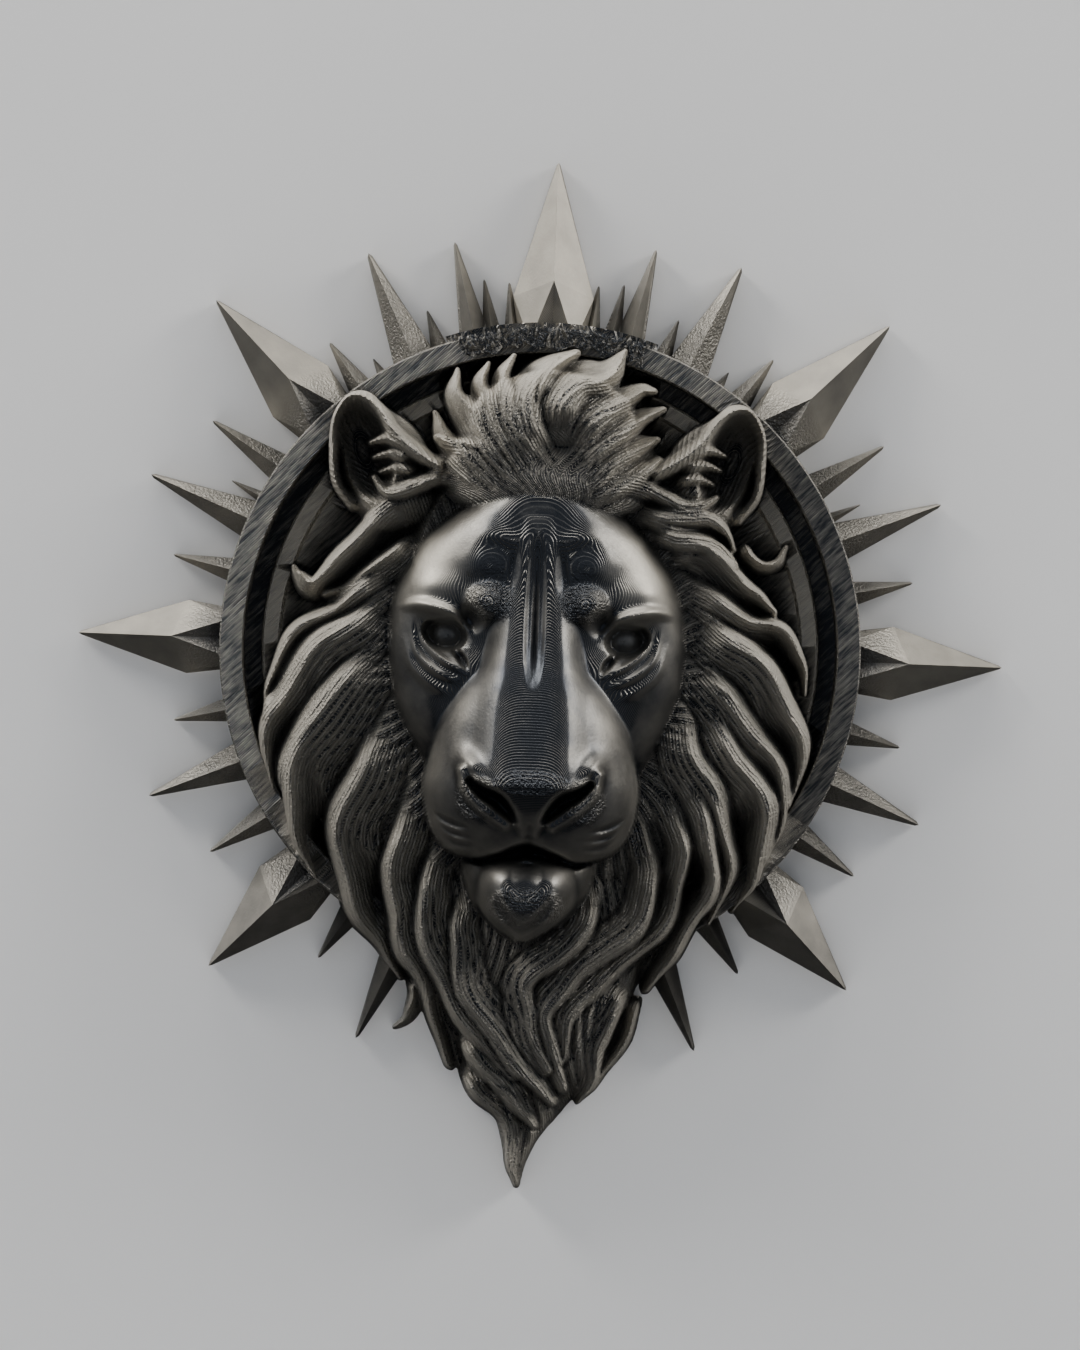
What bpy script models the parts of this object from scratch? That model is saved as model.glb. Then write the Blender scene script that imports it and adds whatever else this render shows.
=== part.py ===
"""Lion head wall mask: a lion's head in high relief on a ringed disc with crystal rays.

The plaque lies flat against a wall in the plane y = 0 and faces -Y, with +Z up.
Its origin is the middle of the disc on the flat back.
Sizes are in millimetres, and MM turns them into metres when a mesh is made.
On the relief, x runs to the right, z runs up, and h is the height above the wall.
"""
import math

import bmesh
import bpy
import numpy as np

MM = 0.001

# Ring and disc
RING_OUTER = 75.0
RING_INNER = 69.4
RING_FACE = 15.0
GROOVE_FLOOR = 2.5
BAND_OUTER = 65.0
BAND_INNER = 61.0
BAND_FACE = 8.0
DISC_FACE = 6.0
RING_SIDES = 112

# How far each form runs behind the wall plane before the back is cut flat
RING_BEHIND = 2.0
HEAD_BEHIND = 1.5
RAY_BEHIND = 2.5

# Rays: degrees from the top, tip radius and half width at the foot
LARGE_RAYS = [(0.0, 114.2, 9.4), (45.0, 111.6, 8.8), (90.0, 108.2, 8.6), (135.8, 107.2, 8.6)]
PLAIN_RAYS = [
    (7.0, 86.4, 2.6), (10.8, 87.8, 2.7), (14.0, 97.6, 4.0), (20.6, 83.8, 2.6), (25.6, 101.2, 5.4),
    (32.0, 78.6, 1.8), (36.6, 87.2, 3.4), (57.2, 93.6, 3.9), (63.4, 82.4, 1.7), (67.9, 99.9, 5.0),
    (77.6, 88.7, 3.3), (103.0, 87.3, 3.3), (112.6, 97.7, 5.0), (123.6, 90.6, 3.9), (146.4, 88.9, 3.6),
    (156.8, 100.6, 4.7),
]
RIGHT_ONLY_RAY = (164.6, 94.4, 3.6)
RAY_ROOT = 72.0
LARGE_SHOULDER = 82.5
LARGE_APEX = 86.4
LARGE_APEX_HEIGHT = 15.0
LARGE_FOOT_HEIGHT = 13.0
LARGE_HOLLOW_HEIGHT = 10.5
LARGE_FOOT_SHARE = 0.82
LARGE_SPLIT_SHARE = 0.55
PLAIN_RIDGE_BASE = 6.5
PLAIN_RIDGE_GAIN = 1.1
RAY_SIDE_HEIGHT = 5.5
TIP_SIDE_HEIGHT = 2.6
TIP_RIDGE_HEIGHT = 4.2
TIP_BLUNT = 0.45
TIP_BEVEL = 0.6

# Broken ledge that laps over the top of the ring
LEDGE_ANGLES = (-19.0, 19.0)
LEDGE_INNER = 70.6
LEDGE_OUTER = 76.5
LEDGE_FACE = 17.0
LEDGE_FOOT = 5.5
LEDGE_END_DROP = 3.0
LEDGE_EDGE_DROP = 0.8
LEDGE_NOTCH = 0.9
LEDGE_STEPS = 14

# Relief grid and how much of it the finished solid keeps
GRID_STEP = 0.8
GRID_SIDE = 67.0
GRID_TOP = 73.0
GRID_FOOT = -129.0
HEAD_SHARE = 0.1
BELOW = -4.0

# Locks of hair: each point is x, z, half width and crest height, from root to tip
LEFT_LOCKS = [
    [(-28, 34, 3, 36), (-37, 28.5, 4.6, 37), (-43, 21, 4.6, 34), (-48.5, 14.6, 3.6, 31),
     (-54, 12.6, 2.6, 28), (-57.6, 15.2, 1.2, 27)],
    [(-28, 25, 3, 36), (-36, 19, 4, 37), (-43, 12.5, 3, 33), (-50, 10.8, 1.4, 28)],
    [(-30, 18, 3.4, 35), (-40, 10.5, 5, 35.5), (-49, 5, 5, 31), (-56.5, -1, 4.6, 27),
     (-61.5, -9, 3, 23), (-63.2, -18, 1, 18)],
    [(-32, 10, 4, 36), (-41, 2.5, 6.5, 37), (-50, -5.5, 7.8, 33), (-57.5, -15.5, 6.6, 28),
     (-61.3, -25, 4, 23), (-60.5, -35, 1.2, 18)],
    [(-33, 0, 4, 36), (-40, -8.5, 6.5, 37.5), (-48, -19, 8.4, 35), (-53, -30, 7.4, 31),
     (-54.3, -40, 5.2, 26), (-52, -49, 3, 21), (-49.5, -56, 0.9, 17)],
    [(-31, -14, 4, 36), (-36, -27, 6.2, 37), (-41, -39, 7, 34), (-41.6, -50, 6.8, 30),
     (-38, -60, 6.2, 26), (-33, -69, 4.4, 21), (-29.5, -77, 1.6, 14)],
    [(-25, -31, 3.6, 37), (-29, -44, 4.6, 37), (-30.2, -56, 5, 34), (-28, -66, 5.2, 30),
     (-24, -75, 4.8, 26), (-20.5, -85, 3.6, 20), (-17, -97, 2.2, 14)],
    [(-19, -44, 3, 38), (-23, -56, 4, 36), (-21.5, -68, 4.6, 33), (-17, -79, 4.8, 29),
     (-9.5, -89, 4.4, 26), (-2, -98, 2.6, 22)],
    [(-13, -56, 2.6, 38), (-15.5, -66, 3.6, 35), (-13.5, -76, 4.2, 32), (-8, -86, 4.4, 29),
     (0, -96, 3.8, 25), (7, -105, 1.5, 20)],
    [(-27, -75, 3, 18), (-25.2, -82, 2.8, 15), (-26.6, -87, 2, 12), (-30.4, -89.6, 0.8, 9)],
]
RIGHT_LOCKS = [
    [(45, 28, 2.2, 25), (46.8, 23.6, 2.5, 26), (51, 21.4, 2.3, 25), (55, 22.6, 1.9, 23),
     (56.8, 26, 1, 22)],
    [(26, 24.5, 3, 37), (35, 23.5, 4.4, 38), (42.5, 19, 4.8, 36), (48.3, 14.2, 3.8, 33),
     (53.4, 10.6, 2, 30)],
    [(29, 17, 3, 36), (40, 11.5, 4.4, 36), (49, 6.6, 4.4, 32), (56, 4.5, 3.8, 29),
     (60.5, -0.5, 2.6, 25), (62, -8, 1, 20)],
    [(32, 9, 4, 36), (42, 2, 6, 37), (51, -6, 7.2, 34), (57.2, -15, 6.2, 30),
     (60.3, -24, 3.8, 24), (59.5, -34, 1, 18)],
    [(33, 0, 4, 36), (40, -9.5, 5.6, 36), (48, -18.5, 6, 33), (54.3, -27, 5, 29),
     (57, -36, 3.4, 23), (54.5, -47, 1, 16)],
    [(33.5, -8, 4, 35), (42, -22, 5.6, 35.5), (49.5, -32, 6.2, 32), (52, -42, 5, 28),
     (50, -52, 3.2, 22), (47, -59, 1, 16)],
    [(31.5, -8, 3.5, 36), (34, -23, 5.2, 37), (39, -34, 6.2, 35), (43, -44, 5.6, 32),
     (43.5, -53, 4.2, 27), (41.5, -62, 1.2, 20)],
    [(31, -27, 3, 35), (38.6, -39, 3.4, 35.5), (40.6, -50, 3.6, 33), (37.5, -60, 4, 29),
     (32, -69, 3.8, 24), (27.5, -78, 1.6, 17)],
    [(27, -27, 3, 35), (32.5, -40, 3.2, 37), (34, -50, 3.4, 35), (31, -60, 3.8, 31),
     (24, -69, 3.6, 29), (15, -76.5, 3.4, 28), (9, -85, 3, 27), (8, -95, 2, 22)],
    [(21, -38, 3, 37), (26.8, -50, 3.6, 37), (24.8, -60, 4, 35), (17.5, -68.5, 4.2, 33),
     (8.5, -75.5, 3.8, 31), (3.6, -84, 3.6, 29), (5, -93, 2.8, 25), (9, -102, 1.5, 20)],
    [(13, -54, 2.6, 38), (12.6, -63, 3.6, 36), (5.5, -70, 4, 34), (-1.5, -78, 3.8, 31),
     (-1, -88, 3.4, 28), (5, -98, 1.6, 23)],
    [(25, -74, 3, 22), (19, -82, 4.2, 23), (15.5, -91, 4.2, 21), (15.6, -99, 3, 18),
     (12.6, -105, 1, 14)],
    [(26.5, -78, 2, 18), (22.8, -87, 2.8, 17), (19.7, -95, 2.4, 15), (16, -102, 1, 12)],
]
TUFT_LOCKS = [
    [(-11, 36.5, 3, 37), (-19, 42, 3.4, 38), (-24.5, 49, 2.8, 36), (-26.8, 54.4, 0.8, 33)],
    [(-9, 39, 2.6, 38), (-17, 45.2, 2.8, 38.5), (-23, 47.2, 1.8, 35.5), (-26.2, 48.5, 0.7, 33)],
    [(-4, 35, 3.6, 39), (-13, 43.5, 4.6, 41), (-19.5, 53, 4.6, 39), (-22.4, 59, 3, 36),
     (-21.9, 64.7, 0.8, 32)],
    [(-2, 36, 3.5, 39), (-9.6, 45.5, 4.2, 42.5), (-15.3, 55, 4.2, 41), (-16.8, 61, 2.8, 38),
     (-14.7, 66.5, 0.8, 33)],
    [(0, 38, 3.5, 40), (-6, 47, 4.2, 43.5), (-10.8, 56, 4.2, 43), (-12, 62.5, 3, 39.5),
     (-8.8, 68.6, 0.8, 34)],
    [(1, 42, 3, 42), (-4.4, 49.5, 4.2, 45), (-6.4, 58, 4.8, 44.5), (-3, 65, 4.4, 41.5),
     (5.6, 69.8, 1.4, 36)],
    [(8, 34.5, 2.5, 38), (15, 38.6, 3.2, 39.5), (21.5, 42, 2.6, 38), (26, 45.5, 1, 36)],
    [(6, 37.5, 3, 39), (13.5, 43.5, 3.8, 40.5), (19.5, 48, 3.2, 39), (25.4, 50.3, 1, 35.5)],
    [(5, 42, 3.2, 41), (11.6, 48.5, 4, 42), (18.5, 54, 3.6, 40), (26.6, 57.4, 1, 35.5)],
    [(4, 45, 3.2, 42), (8.6, 52.5, 4.4, 43.5), (14.6, 58.5, 4.2, 41.5), (20.5, 61.6, 2.6, 38),
     (24.2, 61.6, 1.2, 35)],
    [(2, 48, 3, 43), (1.4, 56, 5.2, 46), (5.6, 63, 5.8, 43.5), (12.6, 65.6, 4.8, 39.5),
     (17.2, 70.6, 0.8, 34)],
]
TEMPLE_LOCKS = [
    [(-21, 40, 2, 38), (-27, 38.8, 2.4, 39.5), (-33.3, 36, 2, 38), (-37.4, 35.6, 1.4, 36),
     (-40.2, 38.8, 0.8, 34)],
    [(9, 36, 2, 37), (16.1, 39, 2.6, 39.5), (21.9, 38.9, 2.7, 39), (27.7, 36.4, 2.4, 38),
     (32, 34.4, 2, 37), (36.4, 34.8, 1.5, 36), (39.8, 37, 0.8, 35)],
    [(18, 34, 2.4, 37), (26.5, 31.5, 2.9, 38.5), (33.7, 31.4, 2.5, 37), (38.2, 31.7, 2.1, 36),
     (42.3, 28.8, 1.5, 33), (44.2, 25, 0.8, 30)],
    [(23, 29.5, 2.5, 37), (30, 27.2, 2.8, 38), (36.2, 26.8, 2.6, 36.5), (41, 25.4, 2, 34),
     (44.6, 21.6, 1.2, 30)],
]

# Left ear; the right one is its mirror image
EAR_RIM = [(-45, 32, 1.8, 22), (-49, 37.5, 1.7, 26), (-50, 45, 1.5, 31), (-49.6, 52, 1.5, 34),
           (-47, 56.4, 1.6, 36), (-43.5, 57.3, 1.7, 37.5), (-39.8, 54.8, 1.8, 38.5),
           (-36, 49.6, 2, 39.5), (-31.2, 45.4, 2.3, 40), (-25.5, 42, 2.6, 40)]
EAR_BODY = [(-36, 36, 10, 33), (-38, 43, 11, 32), (-42, 50, 8.5, 31), (-44, 54.5, 5, 30)]
EAR_TUFTS = [[(-31, 44.8, 1.8, 39), (-37, 48.1, 2, 38), (-41.7, 47.3, 1, 35)],
             [(-28.8, 40, 1.9, 39), (-35, 43, 2, 37), (-40.2, 42.4, 1, 34)]]
EAR_HOLLOW = (-43, 45)
EAR_HOLLOW_RADII = (6.8, 13.0)
EAR_HOLLOW_TURN = 18.0
EAR_HOLLOW_FLOOR = 14.0
EAR_HOLLOW_LIP = 33.0

# Face forms: each row is z, the middle's x, half width and crest height
FACE_AXIS = -1.1
FACE_ROWS = [(36.5, -1, 11, 36), (33.5, -1, 17, 38.5), (28, -1, 24, 41.5), (20, -1.2, 30, 44),
             (12, -1.2, 33.8, 45.5), (3, -0.9, 35.2, 45.5), (-6, -0.7, 34.8, 45),
             (-15, -0.9, 32.5, 44), (-26, -0.4, 26, 43), (-36, -0.5, 21, 41),
             (-46, -0.8, 17.5, 38), (-52, -1, 10, 34)]
FACE_EDGE_HEIGHT = 22.0
MUZZLE_ROWS = [(8, -1.2, 7, 46), (1, -1.2, 9.5, 48), (-5, -1.1, 14, 50), (-10.5, -1.1, 18.6, 51.5),
               (-18, -1, 21.8, 53), (-25, -0.9, 23.8, 54), (-33, -0.8, 25, 54),
               (-39, -0.8, 24.4, 53), (-43.5, -0.8, 22.2, 51.5), (-47, -0.8, 18.6, 49.5),
               (-49.2, -0.8, 13.8, 47), (-50.4, -0.8, 7, 44)]
NOSE_ROWS = [(24, -1.3, 6.5, 45.5), (14, -1.3, 7, 48), (5, -1.3, 7.4, 50), (-3, -1.3, 7.6, 52.5),
             (-9, -1.3, 8, 54.5), (-17, -1.3, 9, 57), (-24, -1.4, 9.8, 59.4),
             (-29.5, -1.5, 10.2, 61.3), (-32, -1.6, 10.4, 61.4), (-33.4, -1.6, 10, 59.5)]
NOSE_SIDE_SLOPE = 0.42
LEATHER_ROWS = [(-31.5, -1.6, 12.4, 60.3), (-33.2, -1.6, 11.8, 60), (-36, -1.2, 8.2, 59),
                (-39, -0.9, 5.2, 57.5), (-41.5, -0.7, 3.2, 56), (-44, -0.7, 2, 53.5)]
PHILTRUM = [(-0.8, -41, 0.9), (-0.9, -45.5, 1.3)]
PHILTRUM_DEPTH = 1.6
JAW_ROWS = [(-44, -0.9, 17, 42), (-50, -0.9, 17.4, 43), (-56, -0.9, 16.2, 42), (-61, -0.9, 13, 40)]
CHIN_ROWS = [(-48.4, -1.2, 11, 40), (-50, -1.2, 12.4, 46), (-52.5, -1.2, 12.8, 50),
             (-57, -1.2, 12.2, 51), (-61.5, -1.2, 10.2, 49), (-65, -1.2, 6.8, 45),
             (-68, -1.2, 1.6, 39)]
MOUTH_LINE = [(-14.5, -49.6, 0.9), (-8, -48.4, 1.6), (-1, -47, 2), (6, -48.4, 1.6),
              (13.5, -49.8, 0.9)]
MOUTH_DEPTH = 9.0
CHIN_CLEFT = [(-1.2, -49, 2), (-1.2, -53, 1.8), (-1.2, -57, 1)]
CHIN_CLEFT_DEPTH = 2.4
BEARD_ROWS = [(-34, -1, 26, 22), (-50, -1, 33, 27), (-64, -1, 34.5, 29), (-72, -2, 31, 28),
              (-80, 0.5, 24, 26), (-88, 0.8, 20, 24), (-95, 1.2, 18, 21), (-101, 0.8, 15.5, 18),
              (-105, 0.2, 11.5, 16), (-109.5, 0.5, 7.5, 14), (-114, -0.4, 4.8, 12),
              (-120, -1.2, 2.6, 10), (-126, -0.8, 0.7, 8)]
BEARD_LOCKS = [
    [(-14, -88, 3, 26), (-9, -97, 3.6, 23), (-1, -105, 3, 20), (3, -111, 1, 16)],
    [(-15, -96, 2.4, 20), (-10, -103, 3, 18), (-4, -110, 2.4, 15.5), (-2, -120, 1.6, 13),
     (-1, -125, 0.7, 9)],
]

# Brow, eyes and nostrils: x is the distance out from the face's middle line
BROW_KNOB = (11.6, 10.8)
BROW_KNOB_RADII = (5.6, 4.0)
BROW_KNOB_TURN = 10.0
BROW_KNOB_RISE = 3.4
BROW_DIP = (11.5, 17.0)
BROW_DIP_RADII = (4.8, 4.2)
BROW_DIP_DEPTH = 1.7
BROW_SHELF = [(14, 11.5, 3), (22, 12, 3.4), (29, 10.5, 3)]
BROW_SHELF_RISE = 2.4
FOREHEAD_FOLD = [(16, 25, 2.6), (11, 23.8, 2.6), (6.5, 20.6, 2)]
FURROW_RIDGE = [(3, 27, 1.7), (2.8, 12, 1.7), (2.2, -7, 1.6)]
FOLD_RISE = 1.3
KNOB_GROOVE = [(5.8, 21, 1.2), (5.7, 15.5, 1.9), (5.8, 10.5, 1.2)]
KNOB_GROOVE_DEPTH = 1.5
FURROW = [(-1.4, 27, 0.8), (-1.3, 10, 1), (-1.3, -8, 0.8)]
FURROW_DEPTH = 1.3
SOCKET = (19.6, 2.2)
SOCKET_RADII = (7.4, 4.4)
SOCKET_DEPTH = 9.5
EYE_CORNER = [(17.2, 5.5, 2), (15.6, 0.5, 2.4), (15.4, -4.6, 1)]
EYE_CORNER_DEPTH = 4.5
BALL = (20.6, 2.2)
BALL_RADIUS = 4.8
BALL_MIDDLE_HEIGHT = 32.0
UPPER_LID = [(31.5, 8.4, 0.8, 37), (28, 9.6, 1.8, 40.6), (23, 8.2, 2, 42.4), (18.6, 7.2, 1.6, 43),
             (15.4, 6.4, 1, 43)]
LOWER_LID = [(27.4, 4.2, 0.8, 37.5), (24.6, -0.8, 1.5, 39), (20, -3.4, 1.6, 40),
             (15.6, -5.4, 1, 41.5)]
UNDER_FOLD = [(30.8, 4.6, 0.9, 36), (28.4, -1.6, 1.5, 37.8), (24.6, -6, 1.6, 39.6),
              (21, -8.6, 1, 41)]
NOSE_WING = (14.4, -27.2)
NOSE_WING_RADII = (2.9, 4.4)
NOSE_WING_TURN = -25.0
NOSE_WING_RISE = 4.0
NOSTRIL_RIM = [(15.4, -29, 1.6, 57.5), (13.6, -33, 1.5, 57.8), (9.6, -37, 1.4, 57.4),
               (4.2, -40.4, 1.2, 56.5)]
NOSTRIL = [(11.6, -32.6, 1.3), (8.4, -34.6, 2.3), (5.2, -36.6, 2.1), (2.9, -40, 0.9)]
NOSTRIL_DEPTH = 9.0

# Mane under the locks: reach from its middle, by degrees from the top
MANE_MIDDLE_Z = -5.0
MANE_REACH = [(-180, 62), (-137, 63), (-120, 62), (-105, 59), (-90, 56), (-76, 50), (-60, 46),
              (-45, 48), (-25, 56), (-12, 64), (12, 66), (25, 60), (45, 50), (60, 50), (76, 53),
              (90, 56), (105, 58), (120, 60), (137, 60), (165, 62), (180, 62)]
MANE_HEIGHT = 31.0
MANE_FALL = 0.55
MANE_WALL = 4.0
FACE_OVAL_MIDDLE = (-0.5, -6.0)
FACE_OVAL = (35.0, 42.0)
FACE_OVAL_MEAN = 38.0

# Section of a lock: where its crest lies, from -1 to 1 across it, and how it falls away
LOCK_CREST = 0.45
TUFT_CREST = 0.4
BEARD_CREST = 0.3
LOCK_LEE = (1.2, 0.75)
TUFT_LEE = (1.3, 0.8)
SWELL_FADE = 1.2


def clear_scene():
    for item in list(bpy.data.objects):
        bpy.data.objects.remove(item, do_unlink=True)


def print_material():
    """Dark gunmetal print with a warm silver rubbed on."""
    material = bpy.data.materials.new("dark_silver_print")
    material.use_nodes = True
    shader = material.node_tree.nodes["Principled BSDF"]
    shader.inputs["Base Color"].default_value = (0.085, 0.085, 0.082, 1.0)
    shader.inputs["Roughness"].default_value = 0.38
    shader.inputs["Metallic"].default_value = 0.8
    return material


def curve_through(points, steps=8):
    """A smooth curve through points, which carries their other columns along."""
    rows = np.array(points, dtype=float)
    rows = np.vstack([2 * rows[0] - rows[1], rows, 2 * rows[-1] - rows[-2]])
    t = np.linspace(0.0, 1.0, steps, endpoint=False)[:, None]
    spans = []
    for a, b, c, d in zip(rows, rows[1:], rows[2:], rows[3:]):
        bend = (2 * a - 5 * b + 4 * c - d) * t ** 2 + (3 * b - a - 3 * c + d) * t ** 3
        spans.append(0.5 * (2 * b + (c - a) * t + bend))
    spans.append(rows[-2][None])
    return np.vstack(spans)


def measure_along(points, x, z, reach):
    """For grid points near the curve: signed distance, share of length and its columns."""
    line = curve_through(points)
    low = line[:, :2].min(axis=0) - reach
    high = line[:, :2].max(axis=0) + reach
    near = (x > low[0]) & (x < high[0]) & (z > low[1]) & (z < high[1])
    start = line[:-1, :2]
    step = np.diff(line[:, :2], axis=0)
    length = np.maximum((step ** 2).sum(axis=1), 1e-9)
    from_x = x[near][:, None] - start[:, 0]
    from_z = z[near][:, None] - start[:, 1]
    s = np.clip((from_x * step[:, 0] + from_z * step[:, 1]) / length, 0, 1)
    away_x = from_x - s * step[:, 0]
    away_z = from_z - s * step[:, 1]
    apart = away_x ** 2 + away_z ** 2
    best = apart.argmin(axis=1)
    pick = np.arange(len(best))
    s = s[pick, best]
    side = np.sign(step[best, 0] * away_z[pick, best] - step[best, 1] * away_x[pick, best])
    columns = line[best] + s[:, None] * (line[best + 1] - line[best])
    return near, side * np.sqrt(apart[pick, best]), (best + s) / len(step), columns


def ease(t):
    t = np.clip(t, 0, 1)
    return t * t * (3 - 2 * t)


def add_lock(h, x, z, points, crest=0.0, full=2.0, edge=0.6, lee=None, root=0.2):
    """Lay a lock on the relief: it rises from what lies under it to its own crest."""
    near, side, share, columns = measure_along(points, x, z, max(p[2] for p in points) + 1)
    u = side / np.maximum(columns[:, 2], 0.05)
    v = np.clip(np.where(u < crest, (crest - u) / (1 + crest), (u - crest) / (1 - crest)), 0, 1)
    crown = (1 - v ** full) ** edge
    if lee:
        steep = (u < crest) if crest <= 0 else (u > crest)
        crown = np.where(steep, crown, (1 - v ** lee[0]) ** lee[1])
    if root:
        crown = crown * ease(share / root)
    under = h[near]
    h[near] = under + np.clip(columns[:, 3] - under, 0, None) * crown


def cut_groove(h, x, z, points, depth):
    """Cut along a curve whose third column is half the groove's width."""
    near, side, _, columns = measure_along(points, x, z, max(p[2] for p in points) + 1)
    h[near] -= depth * np.clip(1 - (side / columns[:, 2]) ** 2, 0, 1)


def add_swell(h, x, z, points, rise):
    """Raise the relief softly along a curve."""
    near, side, _, columns = measure_along(points, x, z, 2.4 * max(p[2] for p in points))
    h[near] += rise * np.exp(-SWELL_FADE * (side / columns[:, 2]) ** 2)


def oval(x, z, centre, radii, turn=0.0):
    """Squared distance from the centre of a turned oval, 1 on its edge."""
    c, s = math.cos(math.radians(turn)), math.sin(math.radians(turn))
    dx, dz = x - centre[0], z - centre[1]
    return ((dx * c + dz * s) / radii[0]) ** 2 + ((dz * c - dx * s) / radii[1]) ** 2


def add_loft(h, x, z, rows, full=2.4, edge=0.55, soft=0.0, base=None):
    """Build a form from rows across the head."""
    level = curve_through(rows)
    level = level[np.argsort(level[:, 0])]
    middle = np.interp(z, level[:, 0], level[:, 1])
    half = np.interp(z, level[:, 0], level[:, 2])
    crest = np.interp(z, level[:, 0], level[:, 3])
    u = np.abs(x - middle) / half
    crown = ease((1 + soft - u) / (2 * soft)) if soft else np.clip(1 - u ** full, 0, 1) ** edge
    inside = (z >= level[0, 0]) & (z <= level[-1, 0]) & (crown > 0)
    under = h if base is None else base
    form = under + (crest - under) * crown
    np.copyto(h, np.maximum(h, form), where=inside)


def add_mane_body(h, x, z):
    """The mass that the locks lie on, falling away from the face."""
    outside = (np.sqrt(oval(x, z, FACE_OVAL_MIDDLE, FACE_OVAL)) - 1) * FACE_OVAL_MEAN
    body = MANE_HEIGHT - MANE_FALL * np.clip(outside, 0, None)
    angle = np.degrees(np.arctan2(x, z - MANE_MIDDLE_Z))
    reach = np.interp(angle, [row[0] for row in MANE_REACH], [row[1] for row in MANE_REACH])
    wall = (reach - np.hypot(x, z - MANE_MIDDLE_Z)) * MANE_WALL
    np.copyto(h, np.maximum(h, np.minimum(body, wall)))


def mirrored(points):
    return [(-point[0],) + tuple(point[1:]) for point in points]


def add_ear(h, x, z, side):
    """One ear: its body, rim, hollow and the tufts that reach into the hollow."""
    turned = mirrored if side > 0 else list
    add_lock(h, x, z, turned(EAR_BODY), full=3, edge=0.5, root=0)
    add_lock(h, x, z, turned(EAR_RIM), edge=0.7, root=0)
    centre = (-side * EAR_HOLLOW[0], EAR_HOLLOW[1])
    u = oval(x, z, centre, EAR_HOLLOW_RADII, -side * EAR_HOLLOW_TURN)
    bowl = EAR_HOLLOW_FLOOR + (EAR_HOLLOW_LIP - EAR_HOLLOW_FLOOR) * u ** 1.8
    np.copyto(h, np.minimum(h, bowl), where=u < 1)
    for points in EAR_TUFTS:
        add_lock(h, x, z, turned(points), root=0.3)


def beside(side, points):
    """Points given by their distance out from the face's middle line, on one side of it."""
    return [(FACE_AXIS + side * point[0],) + tuple(point[1:]) for point in points]


def add_knob(h, x, z, centre, radii, rise, turn=0.0, flat=1.0):
    """Raise or sink a soft oval, with a flatter top the larger flat is."""
    h += rise * np.exp(-SWELL_FADE * oval(x, z, centre, radii, turn) ** flat)


def add_brow(h, x, z, side):
    """Brow, forehead folds and the ridge beside the central furrow."""
    knob, dip = beside(side, [BROW_KNOB, BROW_DIP])
    add_knob(h, x, z, knob, BROW_KNOB_RADII, BROW_KNOB_RISE, turn=side * BROW_KNOB_TURN)
    add_knob(h, x, z, dip, BROW_DIP_RADII, -BROW_DIP_DEPTH, flat=2.0)
    add_swell(h, x, z, beside(side, BROW_SHELF), BROW_SHELF_RISE)
    add_swell(h, x, z, beside(side, FOREHEAD_FOLD), FOLD_RISE)
    add_swell(h, x, z, beside(side, FURROW_RIDGE), FOLD_RISE)
    cut_groove(h, x, z, beside(side, KNOB_GROOVE), KNOB_GROOVE_DEPTH)


def add_eye(h, x, z, side):
    """Socket, ball, lids and the fold under the eye."""
    socket, centre = beside(side, [SOCKET, BALL])
    add_knob(h, x, z, socket, SOCKET_RADII, -SOCKET_DEPTH, flat=1.8)
    cut_groove(h, x, z, beside(side, EYE_CORNER), EYE_CORNER_DEPTH)
    spread = oval(x, z, centre, (BALL_RADIUS, BALL_RADIUS))
    ball = BALL_MIDDLE_HEIGHT + BALL_RADIUS * np.sqrt(np.clip(1 - spread, 0, 1))
    np.copyto(h, np.maximum(h, ball), where=spread < 1)
    for points in (UPPER_LID, LOWER_LID, UNDER_FOLD):
        add_lock(h, x, z, beside(side, points), root=0)


def add_nostril(h, x, z, side):
    """Wing of the nose, the rim below it and the nostril."""
    wing = beside(side, [NOSE_WING])[0]
    add_knob(h, x, z, wing, NOSE_WING_RADII, NOSE_WING_RISE, turn=side * NOSE_WING_TURN)
    add_lock(h, x, z, beside(side, NOSTRIL_RIM), root=0)
    cut_groove(h, x, z, beside(side, NOSTRIL), NOSTRIL_DEPTH)


def add_face(h, x, z):
    add_loft(h, x, z, FACE_ROWS, full=2.3, edge=0.6, base=FACE_EDGE_HEIGHT)
    for side in (-1, 1):
        add_brow(h, x, z, side)
    add_loft(h, x, z, MUZZLE_ROWS, full=2.5, edge=0.5)
    add_loft(h, x, z, NOSE_ROWS, soft=NOSE_SIDE_SLOPE)
    cut_groove(h, x, z, FURROW, FURROW_DEPTH)
    add_loft(h, x, z, LEATHER_ROWS, full=4, edge=0.5)
    for side in (-1, 1):
        add_nostril(h, x, z, side)
        add_eye(h, x, z, side)
    cut_groove(h, x, z, PHILTRUM, PHILTRUM_DEPTH)


def add_mouth_and_chin(h, x, z):
    add_loft(h, x, z, JAW_ROWS, full=5, edge=0.5)
    cut_groove(h, x, z, MOUTH_LINE, MOUTH_DEPTH)
    add_loft(h, x, z, CHIN_ROWS, full=2.4, edge=0.5)
    add_swell(h, x, z, CHIN_CLEFT, -CHIN_CLEFT_DEPTH)


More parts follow.
